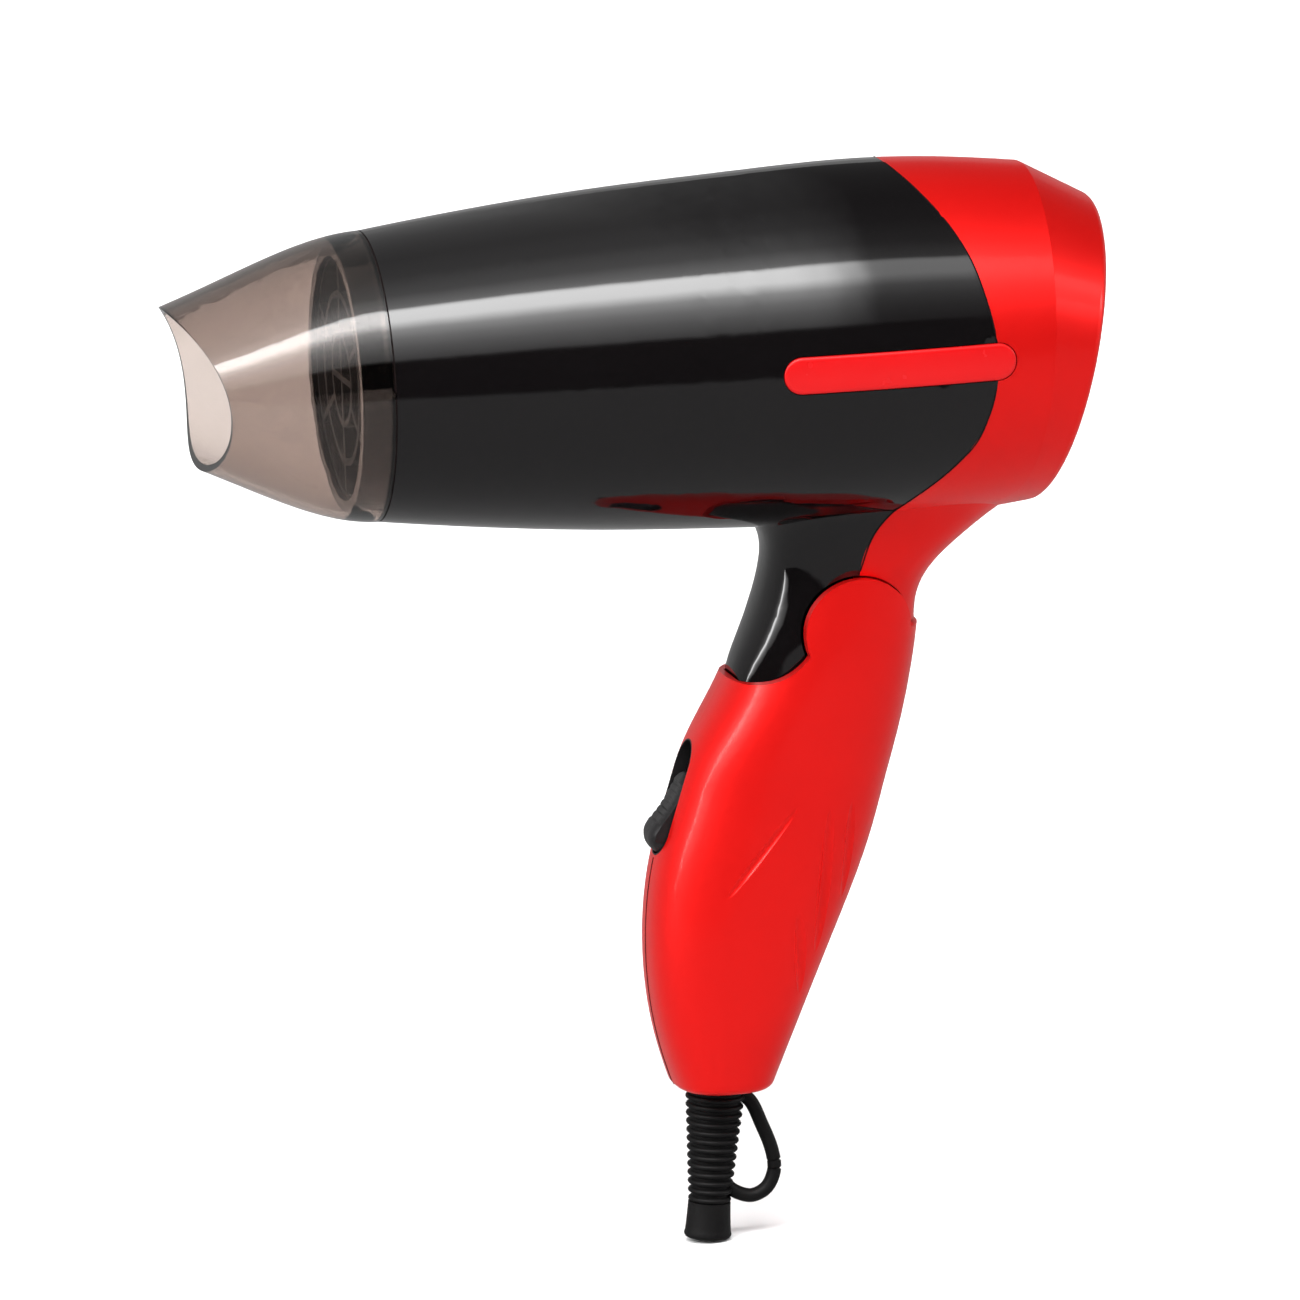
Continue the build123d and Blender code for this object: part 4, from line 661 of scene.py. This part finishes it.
def metal(name, dark, light, low, high):
    made = Finish(name)
    stretched = made.node("ShaderNodeMapping", {"Vector": made.place, "Scale": (60, 900, 900)})
    lines = made.noise(1.0, 3, stretched.outputs["Vector"])
    made.set(**{"Base Color": made.tint(lines, dark, light),
                "Roughness": made.spread(lines, low, high),
                "Normal": made.bump(lines, 0.00002)},
             Metallic=1.0)
    return made


steel = metal("zinc_steel", (0.50, 0.50, 0.51), (0.66, 0.66, 0.66), 0.24, 0.42)
dress(steel, "body_screws", "thermal_fuse", "motor", "motor_shaft", "hinge_tube", "hinge_washers",
      "detent_spring", "handle_screws", "clamp_screws")
brass = metal("contact_brass", (0.62, 0.43, 0.16), (0.80, 0.60, 0.28), 0.25, 0.4)
dress(brass, "thermostat", "switch_contact")
nichrome = metal("nichrome", (0.20, 0.17, 0.15), (0.36, 0.30, 0.26), 0.35, 0.55)
dress(nichrome, "heater_coil")

# ---- Heater ------------------------------------------------------------------------------
# The crossed boards and the sleeve round them are pressed mica, flaky and slightly shiny,
# browned a little by heat.

mica = Finish("mica")
mica_flakes = mica.node("ShaderNodeTexVoronoi", {"Vector": mica.place, "Scale": 420.0})
mica.set(
    **{"Base Color": mica.tint(mica_flakes.outputs["Distance"], (0.62, 0.54, 0.38), (0.78, 0.71, 0.56)),
       "Roughness": mica.spread(mica_flakes.outputs["Color"], 0.25, 0.6),
       "Normal": mica.bump(mica_flakes.outputs["Distance"], 0.00005)})
dress(mica, "heater_tube", "heater_frame")

# ---- Fan and cord clamp ------------------------------------------------------------------
# Grey nylon mouldings with a satin skin and faint flow marks.

grey_nylon = Finish("grey_nylon")
grey_nylon.set(
    **{"Base Color": grey_nylon.tint(grey_nylon.noise(80, 4), (0.22, 0.22, 0.23), (0.30, 0.30, 0.30)),
       "Roughness": grey_nylon.spread(grey_nylon.noise(400), 0.38, 0.52),
       "Normal": grey_nylon.bump(grey_nylon.noise(900), 0.00004)})
dress(grey_nylon, "fan", "cord_clamp")

# ---- Circuit board, capacitor and leads --------------------------------------------------
# A phenolic board with green mask, a yellow film capacitor, and leads in white
# heat-proof sleeving.

board_green = Finish("board_green")
board_green.set(
    **{"Base Color": board_green.tint(board_green.noise(260, 5), (0.02, 0.16, 0.05), (0.05, 0.26, 0.09)),
       "Roughness": board_green.spread(board_green.noise(500), 0.25, 0.45),
       "Normal": board_green.bump(board_green.noise(700), 0.00004)})
dress(board_green, "rectifier_board")

capacitor_yellow = Finish("capacitor_yellow")
capacitor_yellow.set(
    **{"Base Color": capacitor_yellow.tint(capacitor_yellow.noise(120, 3), (0.72, 0.50, 0.05),
                                           (0.86, 0.64, 0.10)),
       "Roughness": capacitor_yellow.spread(capacitor_yellow.noise(300), 0.2, 0.35),
       "Normal": capacitor_yellow.bump(capacitor_yellow.noise(600), 0.00004)})
dress(capacitor_yellow, "capacitor")

lead_sleeve = Finish("lead_sleeve")
lead_sleeve.set(
    **{"Base Color": lead_sleeve.tint(lead_sleeve.noise(200, 4), (0.62, 0.60, 0.55), (0.76, 0.74, 0.70)),
       "Roughness": lead_sleeve.spread(lead_sleeve.noise(500), 0.5, 0.75),
       "Normal": lead_sleeve.bump(lead_sleeve.noise(1400), 0.00006)})
dress(lead_sleeve, "handle_leads", "barrel_leads")

# ---- Lint filter -------------------------------------------------------------------------
# A disc of fine woven steel mesh behind the intake bars, dull from dust.

woven_steel = Finish("woven_steel")
threads = {"Vector": woven_steel.place, "Scale": 420.0}
weft = woven_steel.node("ShaderNodeTexWave", threads, bands_direction="Y")
warp = woven_steel.node("ShaderNodeTexWave", threads, bands_direction="Z")
over = {0: weft.outputs["Fac"], 1: warp.outputs["Fac"]}
weave = woven_steel.node("ShaderNodeMath", over, operation="MAXIMUM")
woven_steel.set(
    **{"Base Color": woven_steel.tint(weave.outputs[0], (0.02, 0.02, 0.02), (0.42, 0.42, 0.42)),
       "Roughness": woven_steel.spread(weave.outputs[0], 0.7, 0.35),
       "Metallic": woven_steel.spread(weave.outputs[0], 0.1, 1.0),
       "Normal": woven_steel.bump(weave.outputs[0], 0.0001)})
dress(woven_steel, "lint_filter")

# ---- Stage -------------------------------------------------------------------------------
# A pale floor under the dryer, three soft lights and the camera.

FLOOR_SIZE = 12.0
FLOOR_GAP = 0.0002
floor_mesh = bpy.data.meshes.new("floor")
floor_level = cad_box[0][2] - FLOOR_GAP
half = FLOOR_SIZE / 2
floor_mesh.from_pydata([(-half, -half, floor_level), (half, -half, floor_level),
                        (half, half, floor_level), (-half, half, floor_level)], [], [(0, 1, 2, 3)])
floor = bpy.data.objects.new("floor", floor_mesh)
bpy.context.scene.collection.objects.link(floor)
pale = Finish("pale_floor")
pale_tint = pale.tint(pale.noise(3), (0.90, 0.90, 0.90), (0.92, 0.92, 0.92))
pale.set(**{"Base Color": pale_tint}, Roughness=0.9, Specular_IOR_Level=0.1)
floor.data.materials.append(pale.material)
floor.visible_glossy = False

world = bpy.data.worlds.new("studio")
world.use_nodes = True
sky = world.node_tree
# brightness of the studio against the height of the direction, in degrees about the barrel's
# axis from straight ahead: one long softbox, bright at its upper edge, with dark either side
SOFTBOX = [(-180, 0.025), (-11, 0.025), (-9, 0.002), (19, 0.002), (21, 0.06), (30, 0.12),
           (37, 0.20), (44, 0.36), (51, 0.95), (60, 1.0), (61.5, 0.19), (73, 0.08), (90, 0.038),
           (108, 0.025), (180, 0.025)]
SOFTBOX_STRENGTH = 15.5
BOX_END = (0.13, 0.20)   # sideways share of the direction over which the softbox ends
BEYOND_END = 0.2
BOX_LOW = 0.3            # the end applies above this upward share of the direction


def sky_node(kind, inputs=None, **settings):
    made = sky.nodes.new(kind)
    for key, value in settings.items():
        setattr(made, key, value)
    for key, value in (inputs or {}).items():
        if isinstance(value, bpy.types.NodeSocket):
            sky.links.new(value, made.inputs[key])
        else:
            made.inputs[key].default_value = value
    return made


towards = sky_node("ShaderNodeSeparateXYZ", {0: sky_node("ShaderNodeTexCoord").outputs["Generated"]})
nearer = sky_node("ShaderNodeMath", {0: towards.outputs["Y"], 1: -1.0}, operation="MULTIPLY")
height = sky_node("ShaderNodeMath", {0: towards.outputs["Z"], 1: nearer.outputs[0]}, operation="ARCTAN2")
share = sky_node("ShaderNodeMapRange", {"Value": height.outputs[0], "From Min": -pi, "From Max": pi})
ramp = sky_node("ShaderNodeValToRGB", {"Fac": share.outputs["Result"]})
stops = ramp.color_ramp.elements
while len(stops) < len(SOFTBOX):
    stops.new(0.5)
# done twice, because moving a stop past its neighbours puts the stops in a new order
for again in range(2):
    for stop, (degrees, level) in zip(stops, SOFTBOX):
        stop.position = (degrees + 180) / 360
        stop.color = (level, level, level, 1)
box_end = sky_node("ShaderNodeMapRange", {"Value": towards.outputs["X"], "From Min": BOX_END[0],
                                          "From Max": BOX_END[1], "To Min": 1.0, "To Max": BEYOND_END})
above = sky_node("ShaderNodeMath", {0: towards.outputs["Z"], 1: BOX_LOW}, operation="GREATER_THAN")
held = sky_node("ShaderNodeMix", {"Factor": above.outputs[0], "A": 1.0, "B": box_end.outputs["Result"]})
strength = sky_node("ShaderNodeMath", {0: held.outputs["Result"], 1: SOFTBOX_STRENGTH}, operation="MULTIPLY")
background = sky.nodes["Background"]
sky.links.new(ramp.outputs["Color"], background.inputs["Color"])
sky.links.new(strength.outputs[0], background.inputs["Strength"])
bpy.context.scene.world = world
bpy.context.scene.view_settings.view_transform = "Standard"

LOOK_AT = Vector((0.0554, 0.0, -0.0596))


def panel(name, azimuth, elevation, distance, width, height, watts):
    """Soft light aimed at the dryer, azimuth from -Y towards +X; gloss doesn't mirror it."""
    light = bpy.data.lights.new(name, "AREA")
    light.shape = "RECTANGLE"
    light.size = width
    light.size_y = height
    light.energy = watts
    lamp = bpy.data.objects.new(name, light)
    bpy.context.scene.collection.objects.link(lamp)
    turn, rise = radians(azimuth), radians(elevation)
    away = Vector((sin(turn) * cos(rise), -cos(turn) * cos(rise), sin(rise)))
    lamp.location = LOOK_AT + away * distance
    lamp.rotation_euler = away.to_track_quat("Z", "Y").to_euler()
    lamp.visible_glossy = False
    return lamp


panel("top_panel", 0, 80, 2.2, 3.0, 3.0, 16)
panel("front_panel", -20, 20, 2.4, 2.0, 1.5, 5)
panel("floor_panel", 180, 60, 4.0, 5.0, 5.0, 16)

# The camera stands off to the nozzle's side, a little above the barrel, and leans 2 degrees.
YAW = radians(12.4)
RISE = radians(11.0)
ROLL = radians(2.0)
CAMERA_DISTANCE = 2.8
camera_data = bpy.data.cameras.new("camera")
camera_data.lens = 387.7
camera_data.sensor_width = 36.0
camera = bpy.data.objects.new("camera", camera_data)
bpy.context.scene.collection.objects.link(camera)
ahead = Vector((sin(YAW) * cos(RISE), cos(YAW) * cos(RISE), -sin(RISE)))
level = Vector((cos(YAW), -sin(YAW), 0))
upward_axis = level.cross(ahead)
right = level * cos(ROLL) - upward_axis * sin(ROLL)
top = level * sin(ROLL) + upward_axis * cos(ROLL)
camera_turn = Matrix((right, top, -ahead)).transposed().to_4x4()
camera.matrix_world = Matrix.Translation(LOOK_AT - ahead * CAMERA_DISTANCE) @ camera_turn
bpy.context.scene.camera = camera
